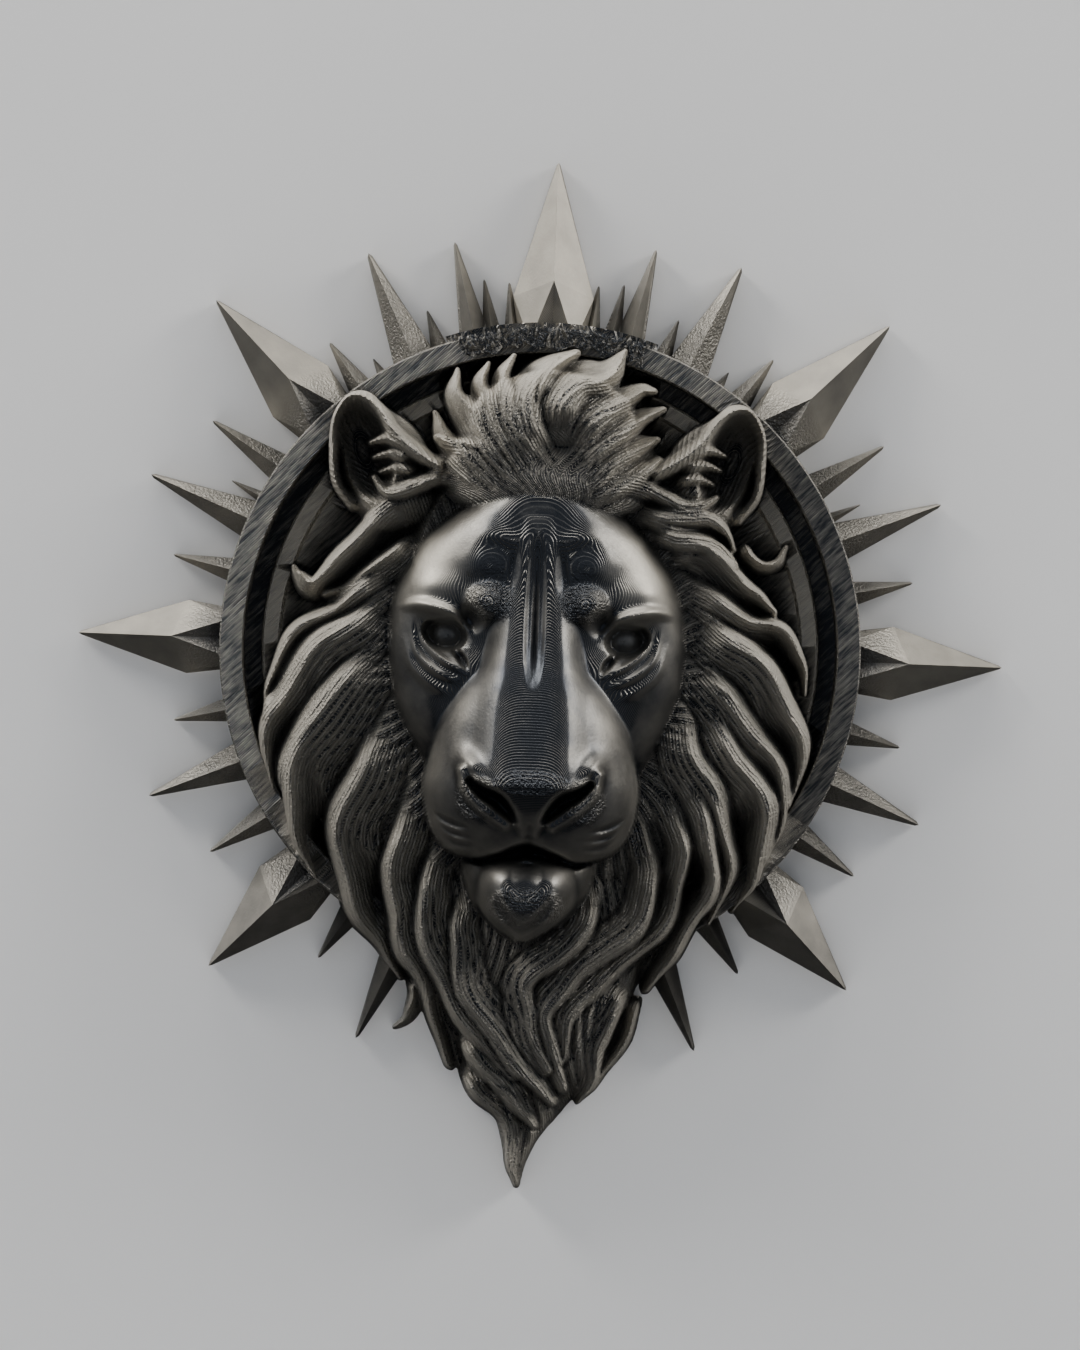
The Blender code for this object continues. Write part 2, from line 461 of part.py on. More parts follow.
def lion_relief(x, z):
    """Height of the lion's head above the wall, negative where there is none."""
    h = np.full(x.shape, BELOW)
    add_mane_body(h, x, z)
    add_loft(h, x, z, BEARD_ROWS, full=4, edge=0.5)
    sides = ((-LOCK_CREST, LEFT_LOCKS), (LOCK_CREST, RIGHT_LOCKS), (-BEARD_CREST, BEARD_LOCKS))
    for crest, locks in sides:
        for points in locks:
            add_lock(h, x, z, points, crest=crest, lee=LOCK_LEE, root=0.22)
    for side in (-1, 1):
        add_ear(h, x, z, side)
    for points in TUFT_LOCKS:
        add_lock(h, x, z, points, crest=-TUFT_CREST, lee=TUFT_LEE, root=0.3)
    for points in TEMPLE_LOCKS:
        add_lock(h, x, z, points, crest=0.1)
    add_face(h, x, z)
    add_mouth_and_chin(h, x, z)
    return h


def soften(h, passes=2):
    """Average each point lightly with its neighbours, which slopes the steepest walls."""
    for _ in range(passes):
        h = np.pad(h, 1, mode="edge")
        h = (h[:-2] + 2 * h[1:-1] + h[2:]) / 4
        h = (h[:, :-2] + 2 * h[:, 1:-1] + h[:, 2:]) / 4
    return h


def cut_flat(bm, height):
    """Keep what stands above this height and close the cut."""
    y = -height * MM
    everything = bm.verts[:] + bm.edges[:] + bm.faces[:]
    bmesh.ops.bisect_plane(bm, geom=everything, dist=1e-7, plane_co=(0, y, 0),
                           plane_no=(0, 1, 0), clear_outer=True)
    rim = [edge for edge in bm.edges if edge.is_boundary]
    bmesh.ops.triangle_fill(bm, use_beauty=True, use_dissolve=False, edges=rim)
    bmesh.ops.recalc_face_normals(bm, faces=bm.faces)


def make_object(name, bm, material=None):
    mesh = bpy.data.meshes.new(name)
    bm.to_mesh(mesh)
    bm.free()
    thing = bpy.data.objects.new(name, mesh)
    bpy.context.collection.objects.link(thing)
    if material:
        mesh.materials.append(material)
    return thing


def helper(thing):
    """Mark a shape that the finished piece is joined from."""
    thing.hide_render = True
    thing.display_type = "WIRE"
    return thing


def lion_head():
    """The carved head as a closed block, thinned to few faces."""
    across = np.arange(-GRID_SIDE, GRID_SIDE + GRID_STEP, GRID_STEP)
    up = np.arange(GRID_FOOT, GRID_TOP + GRID_STEP, GRID_STEP)
    x, z = np.meshgrid(across, up)
    h = soften(lion_relief(x, z))
    bm = bmesh.new()
    corners = [[bm.verts.new((px * MM, -ph * MM, pz * MM)) for px, pz, ph in zip(*row)]
               for row in zip(x, z, h)]
    keep = h > BELOW + 0.5
    keep = keep[:-1, :-1] | keep[1:, :-1] | keep[:-1, 1:] | keep[1:, 1:]
    for i, k in zip(*np.nonzero(keep)):
        bm.faces.new((corners[i][k], corners[i][k + 1], corners[i + 1][k + 1], corners[i + 1][k]))
    bmesh.ops.delete(bm, geom=[v for v in bm.verts if not v.link_faces], context="VERTS")
    cut_flat(bm, -HEAD_BEHIND)
    bmesh.ops.triangulate(bm, faces=bm.faces)
    head = helper(make_object("head_form", bm))
    thin = head.modifiers.new("fewer_faces", "DECIMATE")
    thin.ratio = HEAD_SHARE
    return head


def ring_and_disc(material):
    """Turned plate: disc, raised band, deep groove and outer ring."""
    profile = [(0, DISC_FACE), (BAND_INNER, DISC_FACE), (BAND_INNER, BAND_FACE),
               (BAND_OUTER, BAND_FACE), (BAND_OUTER, GROOVE_FLOOR), (RING_INNER, GROOVE_FLOOR),
               (RING_INNER, RING_FACE), (RING_OUTER, RING_FACE), (RING_OUTER, -RING_BEHIND),
               (0, -RING_BEHIND)]
    bm = bmesh.new()
    verts = [bm.verts.new((r * MM, -h * MM, 0)) for r, h in profile]
    edges = [bm.edges.new(pair) for pair in zip(verts, verts[1:])]
    bmesh.ops.spin(bm, geom=verts + edges, cent=(0, 0, 0), axis=(0, 1, 0),
                   angle=2 * math.pi, steps=RING_SIDES, use_merge=False)
    bmesh.ops.remove_doubles(bm, verts=bm.verts, dist=1e-6)
    bmesh.ops.recalc_face_normals(bm, faces=bm.faces)
    return make_object("lion_head_wall_mask", bm, material)


def place_ray(bm, angle, top, outline):
    """Add one crystal: top faces over named points, straight sides and a flat foot."""
    c, s = math.cos(math.radians(angle)), math.sin(math.radians(angle))

    def vert(r, t, h):
        return bm.verts.new(((r * s + t * c) * MM, -h * MM, (r * c - t * s) * MM))

    points = {name: vert(*place) for name, place in top["points"].items()}
    for face in top["faces"]:
        bm.faces.new([points[name] for name in face])
    feet = {name: vert(*top["points"][name][:2], -RAY_BEHIND) for name in outline}
    for a, b in zip(outline, outline[1:] + outline[:1]):
        bm.faces.new((points[a], points[b], feet[b], feet[a]))
    bm.faces.new([feet[name] for name in reversed(outline)])


def large_ray(bm, angle, tip, half):
    """A crystal with a shoulder and a cut triangle at the foot of its ridge."""
    foot = LARGE_FOOT_SHARE * half
    split = LARGE_SPLIT_SHARE * half
    points = {
        "tip": (tip, 0, TIP_RIDGE_HEIGHT),
        "tip_l": (tip - TIP_BEVEL, -TIP_BLUNT, TIP_SIDE_HEIGHT),
        "tip_r": (tip - TIP_BEVEL, TIP_BLUNT, TIP_SIDE_HEIGHT),
        "wide_l": (LARGE_SHOULDER, -half, RAY_SIDE_HEIGHT),
        "wide_r": (LARGE_SHOULDER, half, RAY_SIDE_HEIGHT),
        "root_l": (RAY_ROOT, -foot, RAY_SIDE_HEIGHT + 1),
        "root_r": (RAY_ROOT, foot, RAY_SIDE_HEIGHT + 1),
        "apex": (LARGE_APEX, 0, LARGE_APEX_HEIGHT),
        "foot_l": (RAY_ROOT, -split, LARGE_FOOT_HEIGHT),
        "foot_r": (RAY_ROOT, split, LARGE_FOOT_HEIGHT),
        "hollow": (RAY_ROOT, 0, LARGE_HOLLOW_HEIGHT),
    }
    faces = [("tip", "apex", "wide_l", "tip_l"), ("tip", "tip_r", "wide_r", "apex"),
             ("apex", "foot_l", "root_l", "wide_l"), ("apex", "wide_r", "root_r", "foot_r"),
             ("apex", "hollow", "foot_l"), ("apex", "foot_r", "hollow"), ("tip", "tip_l", "tip_r")]
    outline = ["tip_l", "wide_l", "root_l", "foot_l", "hollow", "foot_r", "root_r", "wide_r", "tip_r"]
    place_ray(bm, angle, {"points": points, "faces": faces}, outline)


def plain_ray(bm, angle, tip, half):
    """A simple ridged crystal, taller the wider it is."""
    points = {
        "tip": (tip, 0, TIP_RIDGE_HEIGHT),
        "tip_l": (tip - TIP_BEVEL, -TIP_BLUNT, TIP_SIDE_HEIGHT),
        "tip_r": (tip - TIP_BEVEL, TIP_BLUNT, TIP_SIDE_HEIGHT),
        "root_l": (RAY_ROOT, -half, RAY_SIDE_HEIGHT - 1),
        "root_r": (RAY_ROOT, half, RAY_SIDE_HEIGHT - 1),
        "ridge": (RAY_ROOT, 0, PLAIN_RIDGE_BASE + PLAIN_RIDGE_GAIN * half),
    }
    faces = [("tip", "ridge", "root_l", "tip_l"), ("tip", "tip_r", "root_r", "ridge"),
             ("tip", "tip_l", "tip_r")]
    outline = ["tip_l", "root_l", "ridge", "root_r", "tip_r"]
    place_ray(bm, angle, {"points": points, "faces": faces}, outline)


def ray_object(name, build, angle, tip, half):
    bm = bmesh.new()
    build(bm, angle, tip, half)
    bmesh.ops.triangulate(bm, faces=bm.faces)
    bmesh.ops.recalc_face_normals(bm, faces=bm.faces)
    return helper(make_object(name, bm))


def rays():
    """Every crystal, mirrored left and right."""
    made = []
    for kind, build, table in (("large", large_ray, LARGE_RAYS), ("plain", plain_ray, PLAIN_RAYS)):
        for angle, tip, half in table:
            for side in ((1,) if angle == 0 else (-1, 1)):
                made.append(ray_object(f"{kind}_ray_{side * angle:g}", build, side * angle, tip, half))
    made.append(ray_object("right_ray", plain_ray, *RIGHT_ONLY_RAY))
    return made


def ledge():
    """The broken ledge over the top of the ring."""
    bm = bmesh.new()
    rows = []
    for k, a in enumerate(np.radians(np.linspace(*LEDGE_ANGLES, LEDGE_STEPS))):
        inner = LEDGE_INNER + LEDGE_NOTCH * math.sin(2.7 * k) * math.sin(1.3 * k + 0.4)
        face = LEDGE_FACE - LEDGE_END_DROP * (2 * k / (LEDGE_STEPS - 1) - 1) ** 4
        corners = [(inner, LEDGE_FOOT), (inner, face - LEDGE_EDGE_DROP),
                   (LEDGE_OUTER, face), (LEDGE_OUTER, LEDGE_FOOT)]
        rows.append([bm.verts.new((r * math.sin(a) * MM, -h * MM, r * math.cos(a) * MM))
                     for r, h in corners])
    for row, following in zip(rows, rows[1:]):
        for k in range(4):
            n = (k + 1) % 4
            bm.faces.new((row[k], row[n], following[n], following[k]))
    bm.faces.new(rows[0])
    bm.faces.new(rows[-1][::-1])
    bmesh.ops.triangulate(bm, faces=bm.faces)
    bmesh.ops.recalc_face_normals(bm, faces=bm.faces)
    return helper(make_object("ledge_form", bm))


def fuse(body, shapes):
    """Join the shapes to the body, one Boolean union each, and apply them.

    The exact solver leaves open edges where the feet of the rays cross in one plane,
    so the manifold solver joins them.
    """
    for shape in shapes:
        union = body.modifiers.new(shape.name, "BOOLEAN")
        union.operation = "UNION"
        union.solver = "MANIFOLD"
        union.object = shape
    bpy.context.view_layer.update()
    finished = body.evaluated_get(bpy.context.evaluated_depsgraph_get())
    solid = bpy.data.meshes.new_from_object(finished)
    body.modifiers.clear()
    body.data = solid
    for shape in shapes:
        bpy.data.objects.remove(shape, do_unlink=True)


def flatten_back(body):
    """Cut everything off at the wall plane."""
    bm = bmesh.new()
    bm.from_mesh(body.data)
    bmesh.ops.remove_doubles(bm, verts=bm.verts, dist=1e-6)
    cut_flat(bm, 0.0)
    bmesh.ops.dissolve_degenerate(bm, dist=1e-6, edges=bm.edges)
    bmesh.ops.triangulate(bm, faces=bm.faces)
    bm.to_mesh(body.data)
    bm.free()


def main():
    clear_scene()
    material = print_material()
    body = ring_and_disc(material)
    fuse(body, rays() + [ledge(), lion_head()])
    flatten_back(body)
    body.data.materials.clear()
    body.data.materials.append(material)


main()
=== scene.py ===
import math

import bmesh
import bpy
import numpy as np
from mathutils import Matrix, Vector


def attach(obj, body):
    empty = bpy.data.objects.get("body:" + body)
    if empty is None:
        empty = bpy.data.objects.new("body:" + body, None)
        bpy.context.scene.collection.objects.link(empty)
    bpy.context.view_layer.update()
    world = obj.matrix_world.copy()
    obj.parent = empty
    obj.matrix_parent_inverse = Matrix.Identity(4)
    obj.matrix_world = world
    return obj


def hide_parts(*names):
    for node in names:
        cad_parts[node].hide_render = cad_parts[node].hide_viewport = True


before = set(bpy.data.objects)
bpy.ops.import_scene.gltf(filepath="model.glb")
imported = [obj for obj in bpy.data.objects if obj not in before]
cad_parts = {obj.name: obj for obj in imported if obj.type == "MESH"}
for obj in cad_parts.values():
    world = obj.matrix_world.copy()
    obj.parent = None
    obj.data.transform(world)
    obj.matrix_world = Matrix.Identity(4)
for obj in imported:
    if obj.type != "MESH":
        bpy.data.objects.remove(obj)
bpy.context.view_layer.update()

MM = 0.001


# Mane and beard: locks that stand out of the disc, printed in one with it in dark plastic.
# The print is built up in layers parallel to the wall, so its height above the wall is one
# number for every x to the right and z up. A lock's points give x, z, half width and crest.
BELOW = -4.0
LEFT_LOCKS = [
    [(-28, 34, 3, 36), (-37, 28.5, 5, 37), (-43, 21, 5.2, 34), (-48.5, 14.8, 4.6, 32),
     (-53.6, 12.6, 3.8, 30), (-57.2, 14.6, 2.4, 28), (-58.4, 17, 1, 26)],
    [(-28, 25, 3, 36), (-36, 19, 4, 37), (-43, 12.5, 3, 33), (-50, 10.8, 1.4, 28)],
    [(-30, 18, 3.4, 35), (-40, 10.5, 5, 35.5), (-49, 5, 5, 31), (-56.5, -1, 4.6, 27),
     (-61.5, -9, 3, 23), (-63.2, -18, 1, 18)],
    [(-32, 10, 4, 36), (-41, 2.5, 6.5, 37), (-50, -5.5, 7.8, 33), (-57.5, -15.5, 6.6, 28),
     (-61.3, -25, 4, 23), (-60.5, -35, 1.2, 18)],
    [(-33, 0, 4, 36), (-40, -8.5, 6.5, 37.5), (-48, -19, 8.4, 35), (-53, -30, 7.4, 31),
     (-54.3, -40, 5.2, 26), (-52, -49, 3, 21), (-49.5, -56, 0.9, 17)],
    [(-31, -14, 4, 36), (-36, -27, 6.2, 37), (-41, -39, 7, 34), (-41.6, -50, 6.8, 30),
     (-38, -60, 6.2, 26), (-33, -69, 4.4, 21), (-29.5, -77, 1.6, 14)],
    [(-25, -31, 3.6, 37), (-29, -44, 4.6, 37), (-30.2, -56, 5, 34), (-28, -66, 5.2, 30),
     (-24, -75, 4.8, 26), (-20.5, -85, 3.6, 20), (-17, -97, 2.2, 14)],
    [(-19, -44, 3, 38), (-23, -56, 4, 36), (-21.5, -68, 4.6, 33), (-17, -79, 4.8, 29),
     (-9.5, -89, 4.4, 26), (-2, -98, 2.6, 22)],
    [(-13, -56, 2.6, 38), (-15.5, -66, 3.6, 35), (-13.5, -76, 4.2, 32), (-8, -86, 4.4, 29),
     (0, -96, 3.8, 25), (7, -105, 1.5, 20)],
    [(-27, -75, 3, 18), (-25.2, -82, 2.8, 15), (-26.6, -87, 2, 12), (-30.4, -89.6, 0.8, 9)],
]
RIGHT_LOCKS = [
    [(45, 28, 2.2, 25), (46.8, 23.6, 2.5, 26), (51, 21.4, 2.3, 25), (55, 22.6, 1.9, 23),
     (56.8, 26, 1, 22)],
    [(26, 24.5, 3, 37), (35, 23.5, 4.4, 38), (42.5, 19, 4.8, 36), (48.3, 14.2, 3.8, 33),
     (53.4, 10.6, 2, 30)],
    [(29, 17, 3, 36), (40, 11.5, 4.4, 36), (49, 6.6, 4.4, 32), (56, 4.5, 3.8, 29),
     (60.5, -0.5, 2.6, 25), (62, -8, 1, 20)],
    [(32, 9, 4, 36), (42, 2, 6, 37), (51, -6, 7.2, 34), (57.2, -15, 6.2, 30),
     (60.3, -24, 3.8, 24), (59.5, -34, 1, 18)],
    [(33, 0, 4, 36), (40, -9.5, 5.6, 36), (48, -18.5, 6, 33), (54.3, -27, 5, 29),
     (57, -36, 3.4, 23), (54.5, -47, 1, 16)],
    [(33.5, -8, 4, 35), (42, -22, 5.6, 35.5), (49.5, -32, 6.2, 32), (52, -42, 5, 28),
     (50, -52, 3.2, 22), (47, -59, 1, 16)],
    [(31.5, -8, 3.5, 36), (34, -23, 5.2, 37), (39, -34, 6.2, 35), (43, -44, 5.6, 32),
     (43.5, -53, 4.2, 27), (41.5, -62, 1.2, 20)],
    [(31, -27, 3, 35), (38.6, -39, 3.4, 35.5), (40.6, -50, 3.6, 33), (37.5, -60, 4, 29),
     (32, -69, 3.8, 24), (27.5, -78, 1.6, 17)],
    [(27, -27, 3, 35), (32.5, -40, 3.2, 37), (34, -50, 3.4, 35), (31, -60, 3.8, 31),
     (24, -69, 3.6, 29), (15, -76.5, 3.4, 28), (9, -85, 3, 27), (8, -95, 2, 22)],
    [(21, -38, 3, 37), (26.8, -50, 3.6, 37), (24.8, -60, 4, 35), (17.5, -68.5, 4.2, 33),
     (8.5, -75.5, 3.8, 31), (3.6, -84, 3.6, 29), (5, -93, 2.8, 25), (9, -102, 1.5, 20)],
    [(13, -54, 2.6, 38), (12.6, -63, 3.6, 36), (5.5, -70, 4, 34), (-1.5, -78, 3.8, 31),
     (-1, -88, 3.4, 28), (5, -98, 1.6, 23)],
    [(25, -74, 3, 22), (19, -82, 4.2, 23), (15.5, -91, 4.2, 21), (15.6, -99, 3, 18),
     (12.6, -105, 1, 14)],
    [(26.5, -78, 2, 18), (22.8, -87, 2.8, 17), (19.7, -95, 2.4, 15), (16, -102, 1, 12)],
]
BEARD_ROWS = [(-34, -1, 26, 22), (-50, -1, 33, 27), (-64, -1, 34.5, 29), (-72, -2, 31, 28),
              (-80, 0.5, 24, 26), (-88, 0.8, 20, 24), (-95, 1.2, 18, 21), (-101, 0.8, 15.5, 18),
              (-105, 0.2, 11.5, 16), (-109.5, 0.5, 7.5, 14), (-114, -0.4, 4.8, 12),
              (-120, -1.2, 2.6, 10), (-126, -0.8, 0.7, 8)]
BEARD_LOCKS = [
    [(-14, -88, 3, 26), (-9, -97, 3.6, 23), (-1, -105, 3, 20), (3, -111, 1, 16)],
    [(-15, -96, 2.4, 20), (-10, -103, 3, 18), (-4, -110, 2.4, 15.5), (-2, -120, 1.6, 13),
     (-1, -125, 0.7, 9)],
]
BEARD_STRANDS = 1.3
BEARD_STRAND_CUT = 1.4
BEARD_WAVER = (2.4, 8.0)
MANE_MIDDLE_Z = -5.0
MANE_REACH = [(-180, 62), (-137, 63), (-120, 62), (-105, 59), (-90, 56), (-76, 50), (-60, 46),
              (-45, 48), (-25, 56), (-12, 64), (12, 66), (25, 60), (45, 50), (60, 50), (76, 53),
              (90, 56), (105, 58), (120, 60), (137, 60), (165, 62), (180, 62)]
MANE_HEIGHT = 31.0
MANE_FALL = 0.55
MANE_WALL = 4.0
MANE_STRANDS = 42
MANE_STRAND_CUT = 0.9
MANE_WAVER = (1.4, 5.0)
MANE_FINE_STRANDS = 2.7
MANE_FINE_CUT = 0.4
FACE_OVAL_MIDDLE = (-0.5, -6.0)
FACE_OVAL = (35.0, 42.0)
FACE_OVAL_MEAN = 38.0
LOCK_CREST = 0.45
BEARD_CREST = 0.3
LOCK_LEE = (1.2, 0.75)
LOCK_CUTS = {"root": 0.22, "pitch": 1.9, "cut": 1.2, "gap": 1.8, "wave": 0.65}
LOCK_WAVE_LENGTH = 21.0
TRENCH_REACH = 1.1
SWELL_FADE = 1.2


def curve_through(points, steps=8):
    """A smooth curve through points, which carries their other columns along."""
    rows = np.array(points, dtype=float)
    rows = np.vstack([2 * rows[0] - rows[1], rows, 2 * rows[-1] - rows[-2]])
    t = np.linspace(0.0, 1.0, steps, endpoint=False)[:, None]
    spans = []
    for a, b, c, d in zip(rows, rows[1:], rows[2:], rows[3:]):
        bend = (2 * a - 5 * b + 4 * c - d) * t ** 2 + (3 * b - a - 3 * c + d) * t ** 3
        spans.append(0.5 * (2 * b + (c - a) * t + bend))
    spans.append(rows[-2][None])
    return np.vstack(spans)


def measure_along(points, x, z, reach):
    """For grid points near the curve: signed distance, share of length and its columns."""
    line = curve_through(points)
    low = line[:, :2].min(axis=0) - reach
    high = line[:, :2].max(axis=0) + reach
    near = (x > low[0]) & (x < high[0]) & (z > low[1]) & (z < high[1])
    px, pz = x[near], z[near]
    best = np.full(px.shape, np.inf)
    side = np.zeros(px.shape)
    place = np.zeros(px.shape)
    for k in range(len(line) - 1):
        step = line[k + 1, :2] - line[k, :2]
        from_x, from_z = px - line[k, 0], pz - line[k, 1]
        s = np.clip((from_x * step[0] + from_z * step[1]) / max(step @ step, 1e-9), 0, 1)
        away_x, away_z = from_x - s * step[0], from_z - s * step[1]
        apart = away_x ** 2 + away_z ** 2
        closer = apart < best
        best = np.where(closer, apart, best)
        side = np.where(closer, np.sign(step[0] * away_z - step[1] * away_x), side)
        place = np.where(closer, k + s, place)
    index = np.minimum(place.astype(int), len(line) - 2)
    share = place - index
    columns = line[index] + share[:, None] * (line[index + 1] - line[index])
    return near, side * np.sqrt(best), place / (len(line) - 1), columns


def ease(t):
    """0 to 1 with a soft start and end."""
    t = np.clip(t, 0, 1)
    return t * t * (3 - 2 * t)


def strand_profile(u, share, count, phase):
    """Depth of the troughs between the strands of a lock, 0 on their crests."""
    waver = 0.6 * np.sin(6 * share + phase) + 0.15 * np.sin(15 * share + 2.3 * phase)
    coarse = np.abs(np.sin(math.pi * (0.5 * count * (u + 1) + waver + 0.13 * phase)))
    fine = np.abs(np.sin(math.pi * (1.3 * count * (u + 1) + 2.2 * waver + 0.31 * phase)))
    return (0.72 * coarse + 0.28 * fine) * ease(share * 7)


def add_lock(h, x, z, points, crest=0.0, full=2.0, edge=0.6, lee=None, root=0.2, pitch=0.0, cut=0.0,
             gap=0.0, wave=0.0, combed=None):
    """Lay a lock on the relief, with strands cut along it and a dark gap beside it."""
    widest = max(p[2] for p in points)
    near, side, share, columns = measure_along(points, x, z, 1.3 * widest + 1)
    if wave:
        length = sum(math.dist(a[:2], b[:2]) for a, b in zip(points, points[1:]))
        turns = share * length / LOCK_WAVE_LENGTH + 0.37 * points[0][0] + 0.11 * points[0][1]
        side = side + wave * np.sin(2 * math.pi * turns) * ease(4 * share * (1 - share))
    u = side / np.maximum(columns[:, 2], 0.05)
    v = np.clip(np.where(u < crest, (crest - u) / (1 + crest), (u - crest) / (1 - crest)), 0, 1)
    crown = (1 - v ** full) ** edge
    if lee:
        steep = (u < crest) if crest <= 0 else (u > crest)
        crown = np.where(steep, crown, (1 - v ** lee[0]) ** lee[1])
    grown = ease(share / root) if root else 1.0
    under = h[near]
    rise = np.clip(columns[:, 3] - under, 0, None)
    form = under + rise * crown * grown
    if pitch:
        count = max(2, round(2 * widest / pitch))
        trough = strand_profile(u, share, count, points[0][0] + 0.7 * points[0][1])
        deep = np.minimum(cut, 0.45 * columns[:, 2] + 0.3) * np.clip((form - under) / 2.5, 0, 1)
        form -= deep * trough
    beyond = (np.abs(u) - 1) * columns[:, 2]
    trench = gap * np.clip(1 - beyond / TRENCH_REACH, 0, 1) * np.clip(rise / 3, 0, 1) * grown
    h[near] = np.where(beyond < 0, form, under - trench)
    if combed is not None:
        combed[near] = np.where((beyond < 0) & (grown > 0.5), side, combed[near])


def cut_groove(h, x, z, points, sharp=2.0):
    """Cut along a curve; its last two columns are half the width and the depth."""
    near, side, _, columns = measure_along(points, x, z, max(p[2] for p in points) + 1)
    h[near] -= columns[:, 3] * np.clip(1 - (side / columns[:, 2]) ** 2, 0, 1) ** (sharp / 2)


def add_swell(h, x, z, points):
    """Raise the relief softly along a curve; its last two columns are half width and rise."""
    near, side, _, columns = measure_along(points, x, z, 2.4 * max(p[2] for p in points))
    h[near] += columns[:, 3] * np.exp(-SWELL_FADE * (side / columns[:, 2]) ** 2)


def oval(x, z, centre, radii, turn=0.0):
    """Squared distance from the centre of a turned oval, 1 on its edge."""
    c, s = math.cos(math.radians(turn)), math.sin(math.radians(turn))
    dx, dz = x - centre[0], z - centre[1]
    return ((dx * c + dz * s) / radii[0]) ** 2 + ((dz * c - dx * s) / radii[1]) ** 2


def add_knob(h, x, z, centre, radii, rise, turn=0.0, flat=1.0):
    """Raise or sink a soft oval, with a flatter top the larger flat is."""
    h += rise * np.exp(-SWELL_FADE * oval(x, z, centre, radii, turn) ** flat)


def loft(x, z, rows, full, edge, base=None, drop=0.0):
    """A form from rows across the head: z, the middle's x, half width and crest."""
    level = curve_through(rows)
    level = level[np.argsort(level[:, 0])]
    middle, half, crest = (np.interp(z, level[:, 0], level[:, k]) for k in (1, 2, 3))
    crown = np.clip(1 - (np.abs(x - middle) / half) ** full, 0, 1) ** edge
    crown = np.where((z >= level[0, 0]) & (z <= level[-1, 0]), crown, 0)
    foot = crest - drop if base is None else base
    return np.where(crown > 0, foot + (crest - foot) * crown, BELOW)


def blend(h, form, fillet):
    """Lay a form on the relief, with a fillet where the two meet."""
    near = np.clip(1 - np.abs(h - form) / fillet, 0, None)
    np.maximum(h, form, out=h)
    h += fillet * near ** 2 / 4


def add_mane_body(h, x, z, combed):
    """The mass that the locks lie on, falling away from the face, combed outwards."""
    outside = (np.sqrt(oval(x, z, FACE_OVAL_MIDDLE, FACE_OVAL)) - 1) * FACE_OVAL_MEAN
    body = MANE_HEIGHT - MANE_FALL * np.clip(outside, 0, None)
    angle = np.degrees(np.arctan2(x, z - MANE_MIDDLE_Z))
    away = np.hypot(x, z - MANE_MIDDLE_Z)
    turn = np.radians(angle) * MANE_STRANDS + MANE_WAVER[0] * np.sin(away / MANE_WAVER[1])
    body -= MANE_STRAND_CUT * np.abs(np.sin(turn))
    body -= MANE_FINE_CUT * np.abs(np.sin(MANE_FINE_STRANDS * turn))
    combed[:] = turn
    reach = np.interp(angle, [row[0] for row in MANE_REACH], [row[1] for row in MANE_REACH])
    wall = (reach - away) * MANE_WALL
    np.copyto(h, np.maximum(h, np.minimum(body, wall)))


# Tuft: curling locks that sweep up from a crown above the forehead, and the thin locks that
# frame the forehead at the temples. They stand clear of the hair that they grow from.
TUFT_LOCKS = [
    [(-11, 36.5, 3, 37), (-19, 42, 3.4, 38), (-24.5, 49, 2.8, 36), (-26.8, 54.4, 0.8, 33)],
    [(-9, 39, 2.6, 38), (-17, 45.2, 2.8, 38.5), (-23, 47.2, 1.8, 35.5), (-26.2, 48.5, 0.7, 33)],
    [(-4, 35, 3.6, 39), (-13, 43.5, 4.6, 41), (-19.5, 53, 4.6, 39), (-22.4, 59, 3, 36),
     (-21.9, 64.7, 0.8, 32)],
    [(-2, 36, 3.5, 39), (-9.6, 45.5, 4.2, 42.5), (-15.3, 55, 4.2, 41), (-16.8, 61, 2.8, 38),
     (-14.7, 66.5, 0.8, 33)],
    [(0, 38, 3.5, 40), (-6, 47, 4.2, 43.5), (-10.8, 56, 4.2, 43), (-12, 62.5, 3, 39.5),
     (-8.8, 68.6, 0.8, 34)],
    [(1, 42, 3, 42), (-4.4, 49.5, 4.2, 45), (-6.4, 58, 4.8, 44.5), (-3, 65, 4.4, 41.5),
     (5.6, 69.8, 1.4, 36)],
    [(8, 34.5, 2.5, 38), (15, 38.6, 3.2, 39.5), (21.5, 42, 2.6, 38), (26, 45.5, 1, 36)],
    [(6, 37.5, 3, 39), (13.5, 43.5, 3.8, 40.5), (19.5, 48, 3.2, 39), (25.4, 50.3, 1, 35.5)],
    [(5, 42, 3.2, 41), (11.6, 48.5, 4, 42), (18.5, 54, 3.6, 40), (26.6, 57.4, 1, 35.5)],
    [(4, 45, 3.2, 42), (8.6, 52.5, 4.4, 43.5), (14.6, 58.5, 4.2, 41.5), (20.5, 61.6, 2.6, 38),
     (24.2, 61.6, 1.2, 35)],
    [(2, 48, 3, 43), (1.4, 56, 5.2, 46), (5.6, 63, 5.8, 43.5), (12.6, 65.6, 4.8, 39.5),
     (17.2, 70.6, 0.8, 34)],
]
